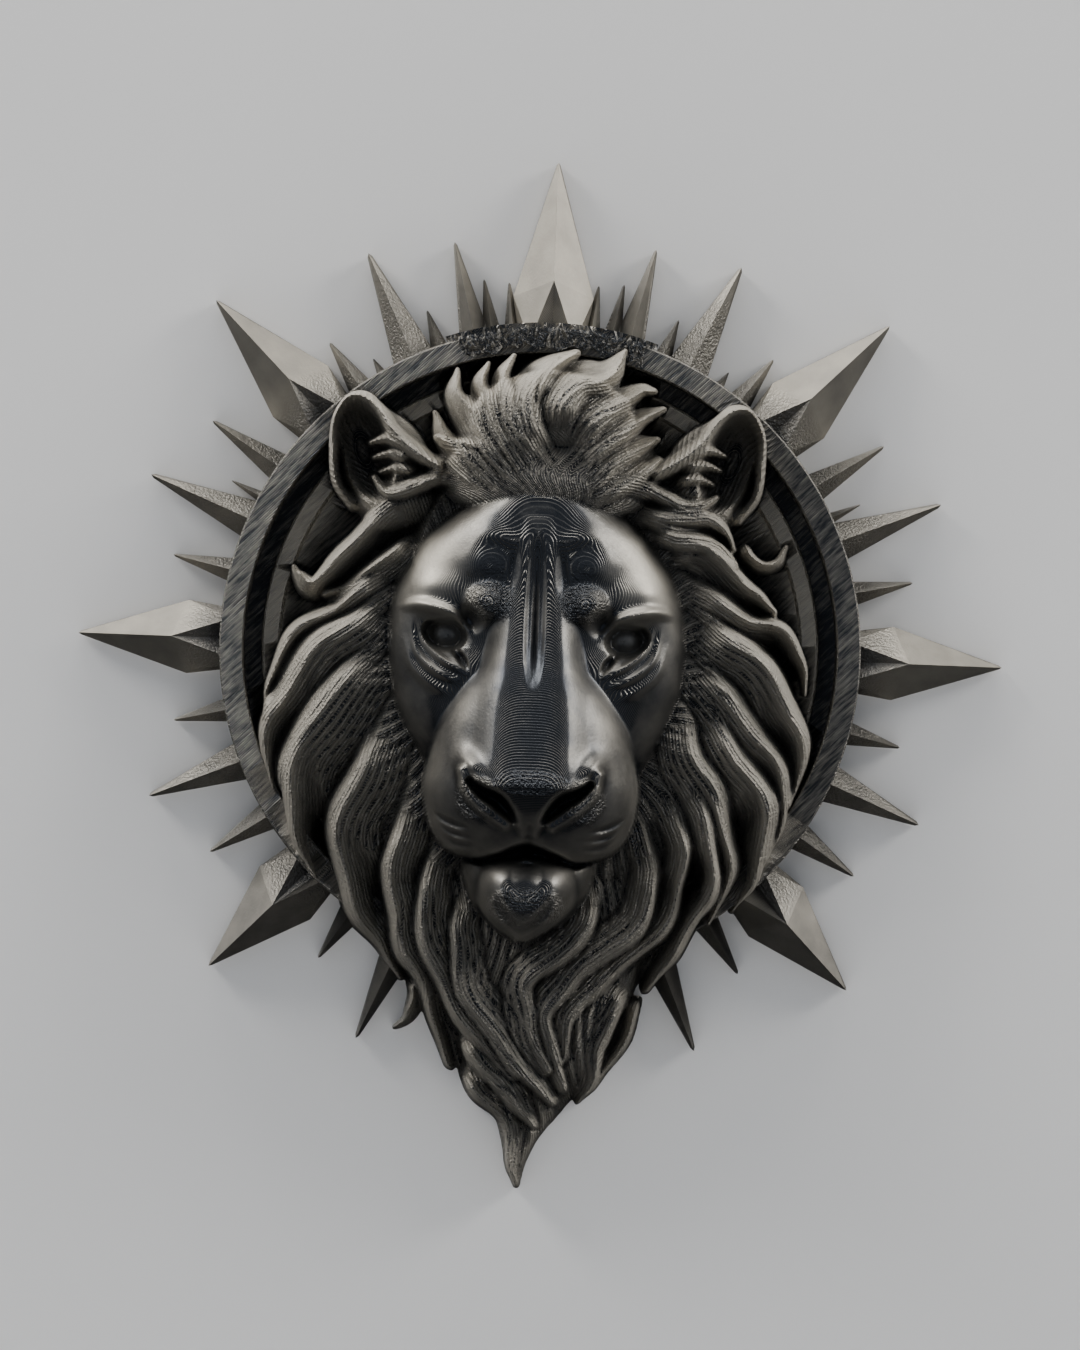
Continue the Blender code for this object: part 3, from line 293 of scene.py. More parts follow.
TEMPLE_LOCKS = [
    [(-21, 40, 2, 38), (-27, 38.8, 2.4, 39.5), (-33.3, 36, 2, 38), (-37.4, 35.6, 1.4, 36),
     (-40.2, 38.8, 0.8, 34)],
    [(9, 36, 2, 37), (16.1, 39, 2.6, 39.5), (21.9, 38.9, 2.7, 39), (27.7, 36.4, 2.4, 38),
     (32, 34.4, 2, 37), (36.4, 34.8, 1.5, 36), (39.8, 37, 0.8, 35)],
    [(18, 34, 2.4, 37), (26.5, 31.5, 2.9, 38.5), (33.7, 31.4, 2.5, 37), (38.2, 31.7, 2.1, 36),
     (42.3, 28.8, 1.5, 33), (44.2, 25, 0.8, 30)],
    [(23, 29.5, 2.5, 37), (30, 27.2, 2.8, 38), (36.2, 26.8, 2.6, 36.5), (41, 25.4, 2, 34),
     (44.6, 21.6, 1.2, 30)],
]
TUFT_BODY = (0.5, 39.5)
TUFT_BODY_RADII = (25.0, 12.0)
TUFT_BODY_FOOT = 22.0
TUFT_BODY_TOP = 45.4
TUFT_CROWN = (1.0, 53.5)
TUFT_CROWN_RADII = (19.0, 11.5)
TUFT_CROWN_TOP = 44.0
TUFT_PARTING_DROP = 16.0
TUFT_STRANDS = 22
TUFT_STRAND_CUT = 0.4
TUFT_LIFT = 5.5
TUFT_CREST = 0.4
TUFT_LEE = (1.3, 0.8)
TUFT_CUTS = {"root": 0.3, "pitch": 1.7, "cut": 1.4, "gap": 1.2, "wave": 0.4}
TEMPLE_CREST = 0.1
TEMPLE_CUTS = {"pitch": 1.6, "cut": 0.9, "gap": 1.5}


def add_tuft_body(h, x, z, combed):
    """The hair under the tuft, combed out of a crown above the forehead."""
    spread = oval(x, z, TUFT_BODY, TUFT_BODY_RADII)
    mound = TUFT_BODY_FOOT + (TUFT_BODY_TOP - TUFT_BODY_FOOT) * np.clip(1 - spread, 0, 1) ** 0.35
    angle = np.arctan2(x - TUFT_BODY[0], z - TUFT_BODY[1] + TUFT_PARTING_DROP)
    turn = TUFT_STRANDS * angle + 2 * np.sin(z / 2)
    mound -= TUFT_STRAND_CUT * np.abs(np.sin(turn))
    np.copyto(combed, turn, where=(spread < 1) & (mound > h))
    np.copyto(h, np.maximum(h, mound), where=spread < 1)
    spread = oval(x, z, TUFT_CROWN, TUFT_CROWN_RADII)
    crown = TUFT_BODY_FOOT + (TUFT_CROWN_TOP - TUFT_BODY_FOOT) * np.clip(1 - spread, 0, 1) ** 0.4
    np.copyto(h, np.maximum(h, crown), where=spread < 1)


# Ears: a body, a rolled rim, a deep hollow and the tufts that reach into the hollow.
# They are part of the same print and lean back against the disc.
EAR_RIM = [(-45, 32, 1.8, 22), (-49, 37.5, 1.7, 26), (-50, 45, 1.5, 31), (-49.6, 52, 1.5, 34),
           (-47, 56.4, 1.6, 36), (-43.5, 57.3, 1.7, 37.5), (-39.8, 54.8, 1.8, 38.5),
           (-36, 49.6, 2, 39.5), (-31.2, 45.4, 2.3, 40), (-25.5, 42, 2.6, 40)]
EAR_BODY = [(-36, 36, 10, 33), (-38, 43, 11, 32), (-42, 50, 8.5, 31), (-44, 54.5, 5, 30)]
EAR_TUFTS = [[(-32, 45.4, 1.2, 39), (-37, 47.8, 1.6, 37.5), (-41.4, 46.8, 0.6, 33)],
             [(-31, 42.6, 1.2, 39), (-36, 44.4, 1.5, 36.5), (-40.4, 43.4, 0.6, 32)],
             [(-29.6, 39.8, 1.2, 38.5), (-34.6, 41.2, 1.4, 35.5), (-38.8, 40, 0.6, 31)]]
EAR_TUFT_CUTS = {"root": 0.3, "pitch": 1.2, "cut": 0.6}
EAR_HOLLOW = (-43, 45)
EAR_HOLLOW_RADII = (6.8, 13.0)
EAR_HOLLOW_TURN = 18.0
EAR_HOLLOW_FLOOR = 14.0
EAR_HOLLOW_LIP = 33.0
EAR_HOLLOW_BOWL = 1.8


def mirrored(points):
    return [(-point[0],) + tuple(point[1:]) for point in points]


def add_ear(h, x, z, side):
    """Raise one ear; side is -1 for the left one in front view, 1 for the right."""
    turned = mirrored if side > 0 else list
    add_lock(h, x, z, turned(EAR_BODY), full=3, edge=0.5, root=0)
    add_lock(h, x, z, turned(EAR_RIM), edge=0.7, root=0)
    centre = (-side * EAR_HOLLOW[0], EAR_HOLLOW[1])
    u = oval(x, z, centre, EAR_HOLLOW_RADII, -side * EAR_HOLLOW_TURN)
    bowl = EAR_HOLLOW_FLOOR + (EAR_HOLLOW_LIP - EAR_HOLLOW_FLOOR) * u ** EAR_HOLLOW_BOWL
    np.copyto(h, np.minimum(h, bowl), where=u < 1)
    for points in EAR_TUFTS:
        add_lock(h, x, z, turned(points), **EAR_TUFT_CUTS)


# Face: forehead, brow, eyes, muzzle, nose, mouth and chin, smooth where the hair is rough.
# A row is z, the middle's x, half width and crest. In the lists that are mirrored, x is the
# distance out from the face's middle line. It is printed in one with the mane.
FACE_AXIS = -1.1
FACE_ROWS = [(43, -1, 6, 42), (38, -1, 11, 43.8), (34.4, -1, 16, 44.8), (31, -1, 20.5, 45.2),
             (28, -1, 24, 45.5), (24, -1.1, 27.6, 45.6), (17, -1.2, 32, 45.5),
             (9, -1.1, 34.6, 45.2), (1, -0.9, 35.4, 45),
             (-8, -0.7, 34.6, 44.5), (-17, -0.9, 31.8, 43.6), (-26, -0.4, 26.6, 42.6),
             (-36, -0.5, 21, 41), (-46, -0.8, 17.5, 38), (-52, -1, 10, 34)]
FACE_EDGE_HEIGHT = 27.0
MUZZLE_ROWS = [(3, -1.2, 8, 44), (-3, -1.2, 12.8, 49), (-8, -1.2, 16.8, 52.6),
               (-12.6, -1.1, 19.8, 54),
               (-18.5, -1, 22.6, 55), (-26.8, -0.9, 24.4, 56), (-33, -0.9, 25.2, 55.6),
               (-40.5, -0.8, 23.8, 53), (-45.5, -0.9, 21, 50), (-48, -0.9, 17.6, 47.6),
               (-49.6, -0.9, 12, 45.5), (-50.6, -0.9, 6, 43)]
MUZZLE_BASE = 34.0
NOSE_ROWS = [(31, -1.3, 5.5, 44), (25, -1.3, 6.6, 45.7), (18, -1.3, 8.2, 46.6),
             (12, -1.3, 9.8, 47.6), (5, -1.3, 11.4, 49.4), (-3, -1.3, 12.4, 51.8),
             (-9, -1.3, 13.2, 54), (-17, -1.3, 14, 56.8),
             (-24, -1.3, 14.5, 59), (-29, -1.3, 14.6, 60.4), (-32.4, -1.3, 14.2, 61)]
NOSE_DROP = 9.5
LEATHER_ROWS = [(-30.6, -1.2, 15.4, 59.2), (-32.8, -1.2, 15, 60.4), (-35, -1.2, 12, 59.6),
                (-38, -1.1, 7.4, 58), (-41, -1, 4.2, 55.8), (-43.6, -0.9, 2.2, 53.2)]
LEATHER_BASE = 48.0
PHILTRUM = [(-0.9, -41, 0.8, 0.8), (-1, -46.5, 1.6, 2)]
JAW_ROWS = [(-46, -0.9, 13, 39), (-50, -0.9, 15.2, 41.4), (-55, -0.9, 14.6, 41.6),
            (-60, -1, 12.2, 40), (-64.5, -1, 8, 38)]
JAW_BASE = 28.0
CHIN_ROWS = [(-49, -0.9, 9.5, 43.5), (-50.6, -0.9, 11.6, 47), (-54, -0.9, 12.4, 49.4),
             (-58, -1, 12, 50.2), (-61.5, -1.2, 10.2, 49), (-65, -1.6, 6.6, 45.8),
             (-67.8, -2, 2, 40)]
CHIN_BASE = 30.0
CHIN_LOBE = (7.0, -54.0)
CHIN_LOBE_RADII = (4.6, 4.2)
CHIN_LOBE_RISE = 1.1
MOUTH_LINE = [(-18.4, -47.6, 0.5, 0.4), (-13, -49.5, 1, 4), (-7.4, -48.9, 1.7, 9),
              (-1.4, -46.9, 2.1, 10), (4.5, -48.5, 1.7, 9), (10.4, -49.8, 1, 4),
              (15.6, -47.8, 0.5, 0.4)]
CHIN_CLEFT = [(-1.2, -49, 3, 1.2), (-1.2, -53, 3.8, 1.2), (-1.2, -58.4, 2.8, 0.2)]
CHIN_HEART = [(-7.6, -57.6, 0.8, 0.1), (-6.8, -61, 1.4, 1.2), (-1.7, -65.4, 1.4, 1.4),
              (3.4, -61, 1.4, 1.2), (4.6, -57.6, 0.8, 0.1)]
LIP_PAD = (10.5, -41.0)
LIP_PAD_RADII = (8.5, 6.0)
LIP_PAD_RISE = 1.2
BROW_KNOB = (12.0, 10.4)
BROW_KNOB_RADII = (4.4, 4.3)
BROW_KNOB_RISE = 2.6
BROW_KNOB_FLAT = 1.5
BROW_FLAT = (11.6, 19.2)
BROW_FLAT_RADII = (7.4, 7.0)
BROW_FLAT_HEIGHT = 46.1
BROW_FLAT_DOME = 0.9
BROW_FLAT_SHARE = 0.85
BROW_SHELF = [(21, 14, 3, 0.4), (26, 13.6, 3.4, 1.2), (30, 12, 2.8, 0.4)]
FOREHEAD_FOLD = [(17.4, 20.6, 2.2, 0.3), (12, 26.2, 2.4, 0.7), (6, 25.4, 2, 0.5),
                 (1.5, 27, 2, 0.1)]
KNOB_GROOVE = [(5.3, 22.8, 0.9, 0.1), (5.4, 19.5, 1.5, 0.9), (5.4, 14, 1.6, 1.3),
               (5, 10.4, 1, 0.1)]
FURROW = [(-1.4, 28, 1, 0.05), (-1.4, 22, 1.9, 0.9), (-1.4, 12, 2.4, 1.5), (-1.4, 0, 2.4, 1.6),
          (-1.4, -6, 1.8, 0.9), (-1.4, -10, 1.2, 0.05)]
FURROW_SHARP = 1.2
FURROW_CUT = [(-1.4, 24, 0.4, 0.1), (-1.4, 10, 0.5, 0.9), (-1.4, -4, 0.5, 0.9),
              (-1.4, -8.5, 0.4, 0.1)]
SOCKET = (20.4, 2.4)
SOCKET_RADII = (8.8, 5.6)
SOCKET_DEPTH = 3.0
SOCKET_CORNER = (15.4, 6.6)
SOCKET_CORNER_RADII = (2.8, 2.8)
SOCKET_FLAT = 1.2
EYE_LID_EDGE = 6.2
EYE_ALMOND = (21.4, 2.9)
EYE_ALMOND_RADII = (5.6, 3.9)
EYE_ALMOND_TURN = 16.0
EYE_DEPTH = 5.0
EYE_LID_ROUND = 1.1
EYE_CORNER = [(18.6, -1, 1, 2), (16.8, -3, 1, 3), (15.6, -5.2, 0.6, 0.5)]
BALL = (20.4, 2.6)
BALL_RADIUS = 4.9
BALL_MIDDLE_HEIGHT = 32.2
UPPER_LID = [(31.8, 8.9, 1, 0.4), (27.5, 9.6, 1.5, 2.2), (22.4, 8.6, 1.6, 2.8), (18.4, 7, 1.2, 2.2),
             (15.8, 4, 0.9, 0.8)]
LOWER_LID = [(27, 5, 0.6, 0.3), (25.6, 0.8, 0.8, 1.2), (21.6, -3, 0.9, 1.3),
             (16.6, -5.8, 0.8, 0.4)]
UNDER_FOLD = [(29, 4.4, 0.8, 0.2), (27.4, -1.6, 0.9, 1.2), (23, -5.8, 1, 1.3), (18, -8, 0.9, 0.3)]
CHEEK_FOLD = [(30.4, 1.6, 0.9, 0.2), (28.6, -4.4, 1.2, 0.8), (24, -8.8, 1.3, 0.8),
              (19, -11, 1.2, 0.1)]
NOSE_WING = (14.4, -27.4)
NOSE_WING_RADII = (2.7, 3.8)
NOSE_WING_RISE = 3.2
NOSE_WING_TURN = -25.0
NOSTRIL_RIM = [(15.8, -28.6, 1.4, 56), (14.4, -33, 1.9, 56.3), (10.6, -37, 1.9, 56.3),
               (5.4, -40.8, 1.5, 55.3)]
NOSTRIL = [(14.2, -31, 0.9, 4), (11, -33.4, 1.7, 9), (7.6, -35.2, 2.1, 10), (4.8, -38, 1.5, 8),
           (3.2, -40, 0.8, 3)]
WHISKER_CREASES = 3


def beside(side, points):
    """Points given by their distance out from the face's middle line, on one side of it."""
    return [(FACE_AXIS + side * point[0],) + tuple(point[1:]) for point in points]


def add_brow(h, x, z, side):
    """Fold, level disc, shelf and rough knob over one eye."""
    knob, patch = beside(side, [BROW_KNOB, BROW_FLAT])
    add_swell(h, x, z, beside(side, FOREHEAD_FOLD))
    apart = oval(x, z, patch, BROW_FLAT_RADII)
    level = ease(1.1 - 1.1 * np.sqrt(apart))
    h += (BROW_FLAT_HEIGHT - BROW_FLAT_DOME * apart - h) * level * BROW_FLAT_SHARE
    add_swell(h, x, z, beside(side, BROW_SHELF))
    add_knob(h, x, z, knob, BROW_KNOB_RADII, BROW_KNOB_RISE, flat=BROW_KNOB_FLAT)
    cut_groove(h, x, z, beside(side, KNOB_GROOVE))


def add_eye(h, x, z, side):
    """Sink a socket, cut the opening between the lids and set the ball in it."""
    socket, corner, centre, almond = beside(side, [SOCKET, SOCKET_CORNER, BALL, EYE_ALMOND])
    add_knob(h, x, z, socket, SOCKET_RADII, -SOCKET_DEPTH, flat=SOCKET_FLAT)
    add_knob(h, x, z, corner, SOCKET_CORNER_RADII, -SOCKET_DEPTH, flat=SOCKET_FLAT)
    for points in (CHEEK_FOLD, UNDER_FOLD, LOWER_LID, UPPER_LID):
        add_swell(h, x, z, beside(side, points))
    inside = 1 - np.sqrt(oval(x, z, almond, EYE_ALMOND_RADII, side * EYE_ALMOND_TURN))
    within = np.minimum(EYE_LID_EDGE - z, inside * EYE_ALMOND_RADII[1])
    opening = h - EYE_DEPTH * ease(within / EYE_LID_ROUND)
    spread = oval(x, z, centre, (BALL_RADIUS, BALL_RADIUS))
    ball = BALL_MIDDLE_HEIGHT + BALL_RADIUS * np.sqrt(np.clip(1 - spread, 0, 1))
    np.copyto(h, np.maximum(opening, np.minimum(ball, h)), where=within > 0)
    cut_groove(h, x, z, beside(side, EYE_CORNER))


def add_nostril(h, x, z, side):
    """Wing, rim and opening of one nostril, and the whisker creases beside it."""
    wing = beside(side, [NOSE_WING])[0]
    add_knob(h, x, z, wing, NOSE_WING_RADII, NOSE_WING_RISE, side * NOSE_WING_TURN)
    add_lock(h, x, z, beside(side, NOSTRIL_RIM), root=0)
    cut_groove(h, x, z, beside(side, NOSTRIL))
    for k in range(WHISKER_CREASES):
        crease = [(22.5 - 1.2 * k, -38.4 - 2.6 * k, 0.4, 0.1),
                  (18.5 - k, -40.9 - 2.4 * k, 0.9, 1.3),
                  (13.5 - 0.6 * k, -42.2 - 2 * k, 0.4, 0.1)]
        cut_groove(h, x, z, beside(side, crease))


def add_face(h, x, z):
    """From the forehead down to the upper lip."""
    face = loft(x, z, FACE_ROWS, 3, 0.55, base=FACE_EDGE_HEIGHT)
    np.maximum(h, face, out=h)
    for side in (-1, 1):
        add_brow(h, x, z, side)
    blend(h, loft(x, z, MUZZLE_ROWS, 2.5, 0.5, base=MUZZLE_BASE), 2.4)
    for side in (-1, 1):
        add_knob(h, x, z, beside(side, [LIP_PAD])[0], LIP_PAD_RADII, LIP_PAD_RISE)
    blend(h, loft(x, z, NOSE_ROWS, 4, 1.0, drop=NOSE_DROP), 3.0)
    cut_groove(h, x, z, FURROW, sharp=FURROW_SHARP)
    cut_groove(h, x, z, FURROW_CUT)
    blend(h, loft(x, z, LEATHER_ROWS, 4, 0.5, base=LEATHER_BASE), 0.8)
    for side in (-1, 1):
        add_nostril(h, x, z, side)
        add_eye(h, x, z, side)
    cut_groove(h, x, z, PHILTRUM)


def add_mouth_and_chin(h, x, z):
    """Jaw, the line of the mouth and the heart-shaped chin."""
    blend(h, loft(x, z, JAW_ROWS, 3, 0.5, base=JAW_BASE), 1.5)
    cut_groove(h, x, z, MOUTH_LINE)
    blend(h, loft(x, z, CHIN_ROWS, 2.6, 0.5, base=CHIN_BASE), 1.0)
    for side in (-1, 1):
        add_knob(h, x, z, beside(side, [CHIN_LOBE])[0], CHIN_LOBE_RADII,
                 CHIN_LOBE_RISE)
    cut_groove(h, x, z, CHIN_CLEFT)
    cut_groove(h, x, z, CHIN_HEART)


# Whole head: mane, ears, tuft and face laid over one another in one relief, then carved as a
# closed block with a flat back. Rough places on the skin are where the printer's top layers
# did not close.
HEAD_STEP = 0.34
HEAD_SIDE = 67.0
HEAD_TOP = 73.0
HEAD_FOOT = -129.0
HEAD_BEHIND = 1.5
HEAD_FACES = 172000
ROUGH_SKIN = [((10.8, 11.0), (5.6, 4.6)), ((0.0, -31.0), (8.4, 3.0)), ((12.2, -35.0), (5.0, 5.4)),
              ((3.0, -60.0), (5.6, 4.4))]


def lion_relief(x, z):
    """Height above the wall, where skin is bare, where it is smooth, and how hair is combed."""
    h = np.full(x.shape, BELOW)
    combed = np.zeros(x.shape)
    add_mane_body(h, x, z, combed)
    beard = loft(x, z, BEARD_ROWS, 4, 0.5, base=BELOW)
    turn = BEARD_STRANDS * (x + BEARD_WAVER[0] * np.sin(z / BEARD_WAVER[1]))
    beard -= BEARD_STRAND_CUT * np.abs(np.sin(turn))
    np.copyto(combed, turn, where=beard > h)
    np.maximum(h, beard, out=h)
    sides = ((-LOCK_CREST, LEFT_LOCKS), (LOCK_CREST, RIGHT_LOCKS), (-BEARD_CREST, BEARD_LOCKS))
    for crest, locks in sides:
        for points in locks:
            add_lock(h, x, z, points, crest=crest, lee=LOCK_LEE, combed=combed, **LOCK_CUTS)
    for side in (-1, 1):
        add_ear(h, x, z, side)
    add_tuft_body(h, x, z, combed)
    for points in TUFT_LOCKS:
        points = [(px, pz, half, top + TUFT_LIFT) for px, pz, half, top in points]
        add_lock(h, x, z, points, crest=-TUFT_CREST, lee=TUFT_LEE, combed=combed, **TUFT_CUTS)
    for points in TEMPLE_LOCKS:
        add_lock(h, x, z, points, crest=TEMPLE_CREST, combed=combed, **TEMPLE_CUTS)
    hair = h.copy()
    add_face(h, x, z)
    add_mouth_and_chin(h, x, z)
    skin = h > hair + 0.3
    smooth = skin.copy()
    for place, radii in ROUGH_SKIN:
        for side in (-1, 1):
            smooth &= oval(x, z, beside(side, [place])[0], radii) > 1
    return h, skin, smooth, combed


def soften(h, passes):
    """Average each point lightly with its neighbours."""
    for _ in range(passes):
        h = np.pad(h, 1, mode="edge")
        h = (h[:-2] + 2 * h[1:-1] + h[2:]) / 4
        h = (h[:, :-2] + 2 * h[:, 1:-1] + h[:, 2:]) / 4
    return h


def close_at(bm, height):
    """Keep what stands above this height and close the cut."""
    everything = bm.verts[:] + bm.edges[:] + bm.faces[:]
    bmesh.ops.bisect_plane(bm, geom=everything, dist=1e-8, plane_co=(0, -height * MM, 0),
                           plane_no=(0, 1, 0), clear_outer=True)
    rim = [edge for edge in bm.edges if edge.is_boundary]
    bmesh.ops.triangle_fill(bm, use_beauty=True, use_dissolve=False, edges=rim)
    bmesh.ops.recalc_face_normals(bm, faces=bm.faces)


def make_object(name, bm):
    mesh = bpy.data.meshes.new(name)
    bm.to_mesh(mesh)
    bm.free()
    thing = bpy.data.objects.new(name, mesh)
    bpy.context.collection.objects.link(thing)
    return thing


def finished_mesh(thing):
    """The object's mesh with its modifiers applied."""
    bpy.context.view_layer.update()
    shown = thing.evaluated_get(bpy.context.evaluated_depsgraph_get())
    return bpy.data.meshes.new_from_object(shown)


def carve_head(x, z, h):
    """Closed block under the relief, thinned to the faces that its forms need."""
    keep = h > BELOW + 0.5
    keep = keep[:-1, :-1] | keep[1:, :-1] | keep[:-1, 1:] | keep[1:, 1:]
    index = np.arange(x.size).reshape(x.shape)
    corners = [index[:-1, :-1], index[:-1, 1:], index[1:, 1:], index[1:, :-1]]
    quads = np.stack(corners, axis=-1)[keep]
    used, compact = np.unique(quads, return_inverse=True)
    points = np.stack([x, -h, z], axis=-1).reshape(-1, 3)[used] * MM
    sheet = bpy.data.meshes.new("relief_sheet")
    sheet.from_pydata(points.tolist(), [], compact.reshape(-1, 4).tolist())
    bm = bmesh.new()
    bm.from_mesh(sheet)
    close_at(bm, -HEAD_BEHIND)
    bmesh.ops.triangulate(bm, faces=bm.faces)
    head = make_object("head_form", bm)
    thin = head.modifiers.new("fewer_faces", "DECIMATE")
    thin.ratio = min(1.0, HEAD_FACES / len(head.data.polygons))
    head.data = finished_mesh(head)
    head.modifiers.clear()
    return head


across = np.arange(-HEAD_SIDE, HEAD_SIDE + HEAD_STEP, HEAD_STEP)
up = np.arange(HEAD_FOOT, HEAD_TOP + HEAD_STEP, HEAD_STEP)
grid_x, grid_z = np.meshgrid(across, up)
relief, skin, smooth, combed = lion_relief(grid_x, grid_z)
relief = soften(relief, 1)
skin = soften(skin.astype(float), 2)
smooth = soften(smooth.astype(float), 2)
head = carve_head(grid_x, grid_z, relief)


# Ring and disc: a turned plate with a raised band, a deep groove and the outer ring.
# Printed in one with the head; its edges are a little rounded by the beads.
RING_OUTER = 75.0
RING_INNER = 69.4
RING_FACE = 15.0
RING_BEHIND = 2.0
GROOVE_FLOOR = 2.5
BAND_OUTER = 65.0
BAND_INNER = 61.0
BAND_FACE = 8.0
DISC_FACE = 6.0
EDGE_ROUND = 0.35
RING_SIDES = 360


def rounded(profile, radius):
    """The profile with each inner corner cut by a short bevel."""
    points = [np.array(p, dtype=float) for p in profile]
    out = [points[0]]
    for before, here, after in zip(points, points[1:-1], points[2:]):
        for other in (before, after):
            way = (other - here) / np.linalg.norm(other - here)
            out.append(here + way * radius)
    return out + [points[-1]]


def turn_plate():
    """Spin the section, from the disc's middle out to the ring and back behind it."""
    profile = [(0, DISC_FACE), (BAND_INNER, DISC_FACE), (BAND_INNER, BAND_FACE),
               (BAND_OUTER, BAND_FACE), (BAND_OUTER, GROOVE_FLOOR), (RING_INNER, GROOVE_FLOOR),
               (RING_INNER, RING_FACE), (RING_OUTER, RING_FACE), (RING_OUTER, -RING_BEHIND),
               (0, -RING_BEHIND)]
    bm = bmesh.new()
    verts = [bm.verts.new((r * MM, -h * MM, 0)) for r, h in rounded(profile, EDGE_ROUND)]
    edges = [bm.edges.new(pair) for pair in zip(verts, verts[1:])]
    bmesh.ops.spin(bm, geom=verts + edges, cent=(0, 0, 0), axis=(0, 1, 0),
                   angle=2 * math.pi, steps=RING_SIDES, use_merge=False)
    bmesh.ops.remove_doubles(bm, verts=bm.verts, dist=1e-6)
    bmesh.ops.triangulate(bm, faces=bm.faces)
    bmesh.ops.recalc_face_normals(bm, faces=bm.faces)
    return make_object("lion_head_wall_mask_print", bm)


mask = turn_plate()


# Large rays: seven crystals, about 45 degrees apart, cut flat behind and printed in one with
# the ring. Each has a shoulder and a triangle cut in the foot of its ridge. A ray is listed
# by its angle from the top, the radius of its tip and its half width.
LARGE_RAYS = [(0.0, 114.2, 9.4), (45.0, 111.6, 8.8), (90.0, 108.2, 8.6), (135.8, 107.2, 8.6)]
RAY_ROOT = 72.0
RAY_BEHIND = 2.5
LARGE_SHOULDER = 82.5
LARGE_APEX = 86.4
LARGE_APEX_HEIGHT = 15.0
LARGE_FOOT_HEIGHT = 13.0
LARGE_HOLLOW_HEIGHT = 10.5
LARGE_FOOT_SHARE = 0.82
LARGE_SPLIT_SHARE = 0.55
RAY_SIDE_HEIGHT = 5.5
RAY_ROOT_STEP = 1.0
TIP_SIDE_HEIGHT = 2.6
TIP_RIDGE_HEIGHT = 4.2
TIP_BLUNT = 0.45
TIP_BEVEL = 0.6


def place_ray(bm, angle, points, faces, outline):
    """Add one crystal: top faces over named points, straight sides and a flat foot."""
    c, s = math.cos(math.radians(angle)), math.sin(math.radians(angle))

    def vert(r, t, h):
        return bm.verts.new(((r * s + t * c) * MM, -h * MM, (r * c - t * s) * MM))

    made = {name: vert(*place) for name, place in points.items()}
    for face in faces:
        bm.faces.new([made[name] for name in face])
    feet = {name: vert(*points[name][:2], -RAY_BEHIND) for name in outline}
    for a, b in zip(outline, outline[1:] + outline[:1]):
        bm.faces.new((made[a], made[b], feet[b], feet[a]))
    bm.faces.new([feet[name] for name in reversed(outline)])


def large_ray(bm, angle, tip, half):
    """One crystal with a shoulder, its apex above the shoulder and a hollow in its foot."""
    foot = LARGE_FOOT_SHARE * half
    split = LARGE_SPLIT_SHARE * half
    points = {
        "tip": (tip, 0, TIP_RIDGE_HEIGHT),
        "tip_l": (tip - TIP_BEVEL, -TIP_BLUNT, TIP_SIDE_HEIGHT),
        "tip_r": (tip - TIP_BEVEL, TIP_BLUNT, TIP_SIDE_HEIGHT),
        "wide_l": (LARGE_SHOULDER, -half, RAY_SIDE_HEIGHT),
        "wide_r": (LARGE_SHOULDER, half, RAY_SIDE_HEIGHT),
        "root_l": (RAY_ROOT, -foot, RAY_SIDE_HEIGHT + RAY_ROOT_STEP),
        "root_r": (RAY_ROOT, foot, RAY_SIDE_HEIGHT + RAY_ROOT_STEP),
        "apex": (LARGE_APEX, 0, LARGE_APEX_HEIGHT),
        "foot_l": (RAY_ROOT, -split, LARGE_FOOT_HEIGHT),
        "foot_r": (RAY_ROOT, split, LARGE_FOOT_HEIGHT),
        "hollow": (RAY_ROOT, 0, LARGE_HOLLOW_HEIGHT),
    }
    faces = [("tip", "apex", "wide_l"), ("tip", "wide_l", "tip_l"), ("tip", "wide_r", "apex"),
             ("tip", "tip_r", "wide_r"), ("apex", "foot_l", "wide_l"),
             ("foot_l", "root_l", "wide_l"), ("apex", "wide_r", "foot_r"),
             ("foot_r", "wide_r", "root_r"), ("apex", "hollow", "foot_l"),
             ("apex", "foot_r", "hollow"), ("tip", "tip_l", "tip_r")]
    outline = ["tip_l", "wide_l", "root_l", "foot_l", "hollow", "foot_r", "root_r", "wide_r",
               "tip_r"]
    place_ray(bm, angle, points, faces, outline)


def ray_object(name, build, *sizes):
    """A closed body of its own from one of the crystal builders."""
    bm = bmesh.new()
    build(bm, *sizes)
    bmesh.ops.triangulate(bm, faces=bm.faces)
    bmesh.ops.recalc_face_normals(bm, faces=bm.faces)
    return make_object(name, bm)


rays = []
for angle, tip, half in LARGE_RAYS:
    for side in ((1,) if angle == 0 else (-1, 1)):
        rays.append(ray_object(f"large_ray_{side * angle:g}", large_ray, side * angle, tip, half))


# Plain rays: one crystal, set round the ring on a point for each ray, where it is turned,
# lengthened and widened to that ray's own size. A wider ray has a higher ridge. Neighbours
# overlap at the ring, so every other one goes into a body of its own until all are fused.
PLAIN_RAYS = [
    (7.0, 86.4, 2.6), (10.8, 87.8, 2.7), (14.0, 97.6, 4.0), (20.6, 83.8, 2.6),
    (25.6, 101.2, 5.4), (32.0, 78.6, 1.8), (36.6, 87.2, 3.4), (57.2, 93.6, 3.9),
    (63.4, 82.4, 1.7), (67.9, 99.9, 5.0), (77.6, 88.7, 3.3), (103.0, 87.3, 3.3),
    (112.6, 97.7, 5.0), (123.6, 90.6, 3.9), (146.4, 88.9, 3.6), (156.8, 100.6, 4.7),
]
RIGHT_ONLY_RAY = (164.6, 94.4, 3.6)
PLAIN_RIDGE_BASE = 6.5
PLAIN_RIDGE_GAIN = 1.1
CRYSTAL_LENGTH = 20.0
CRYSTAL_HALF = 4.0
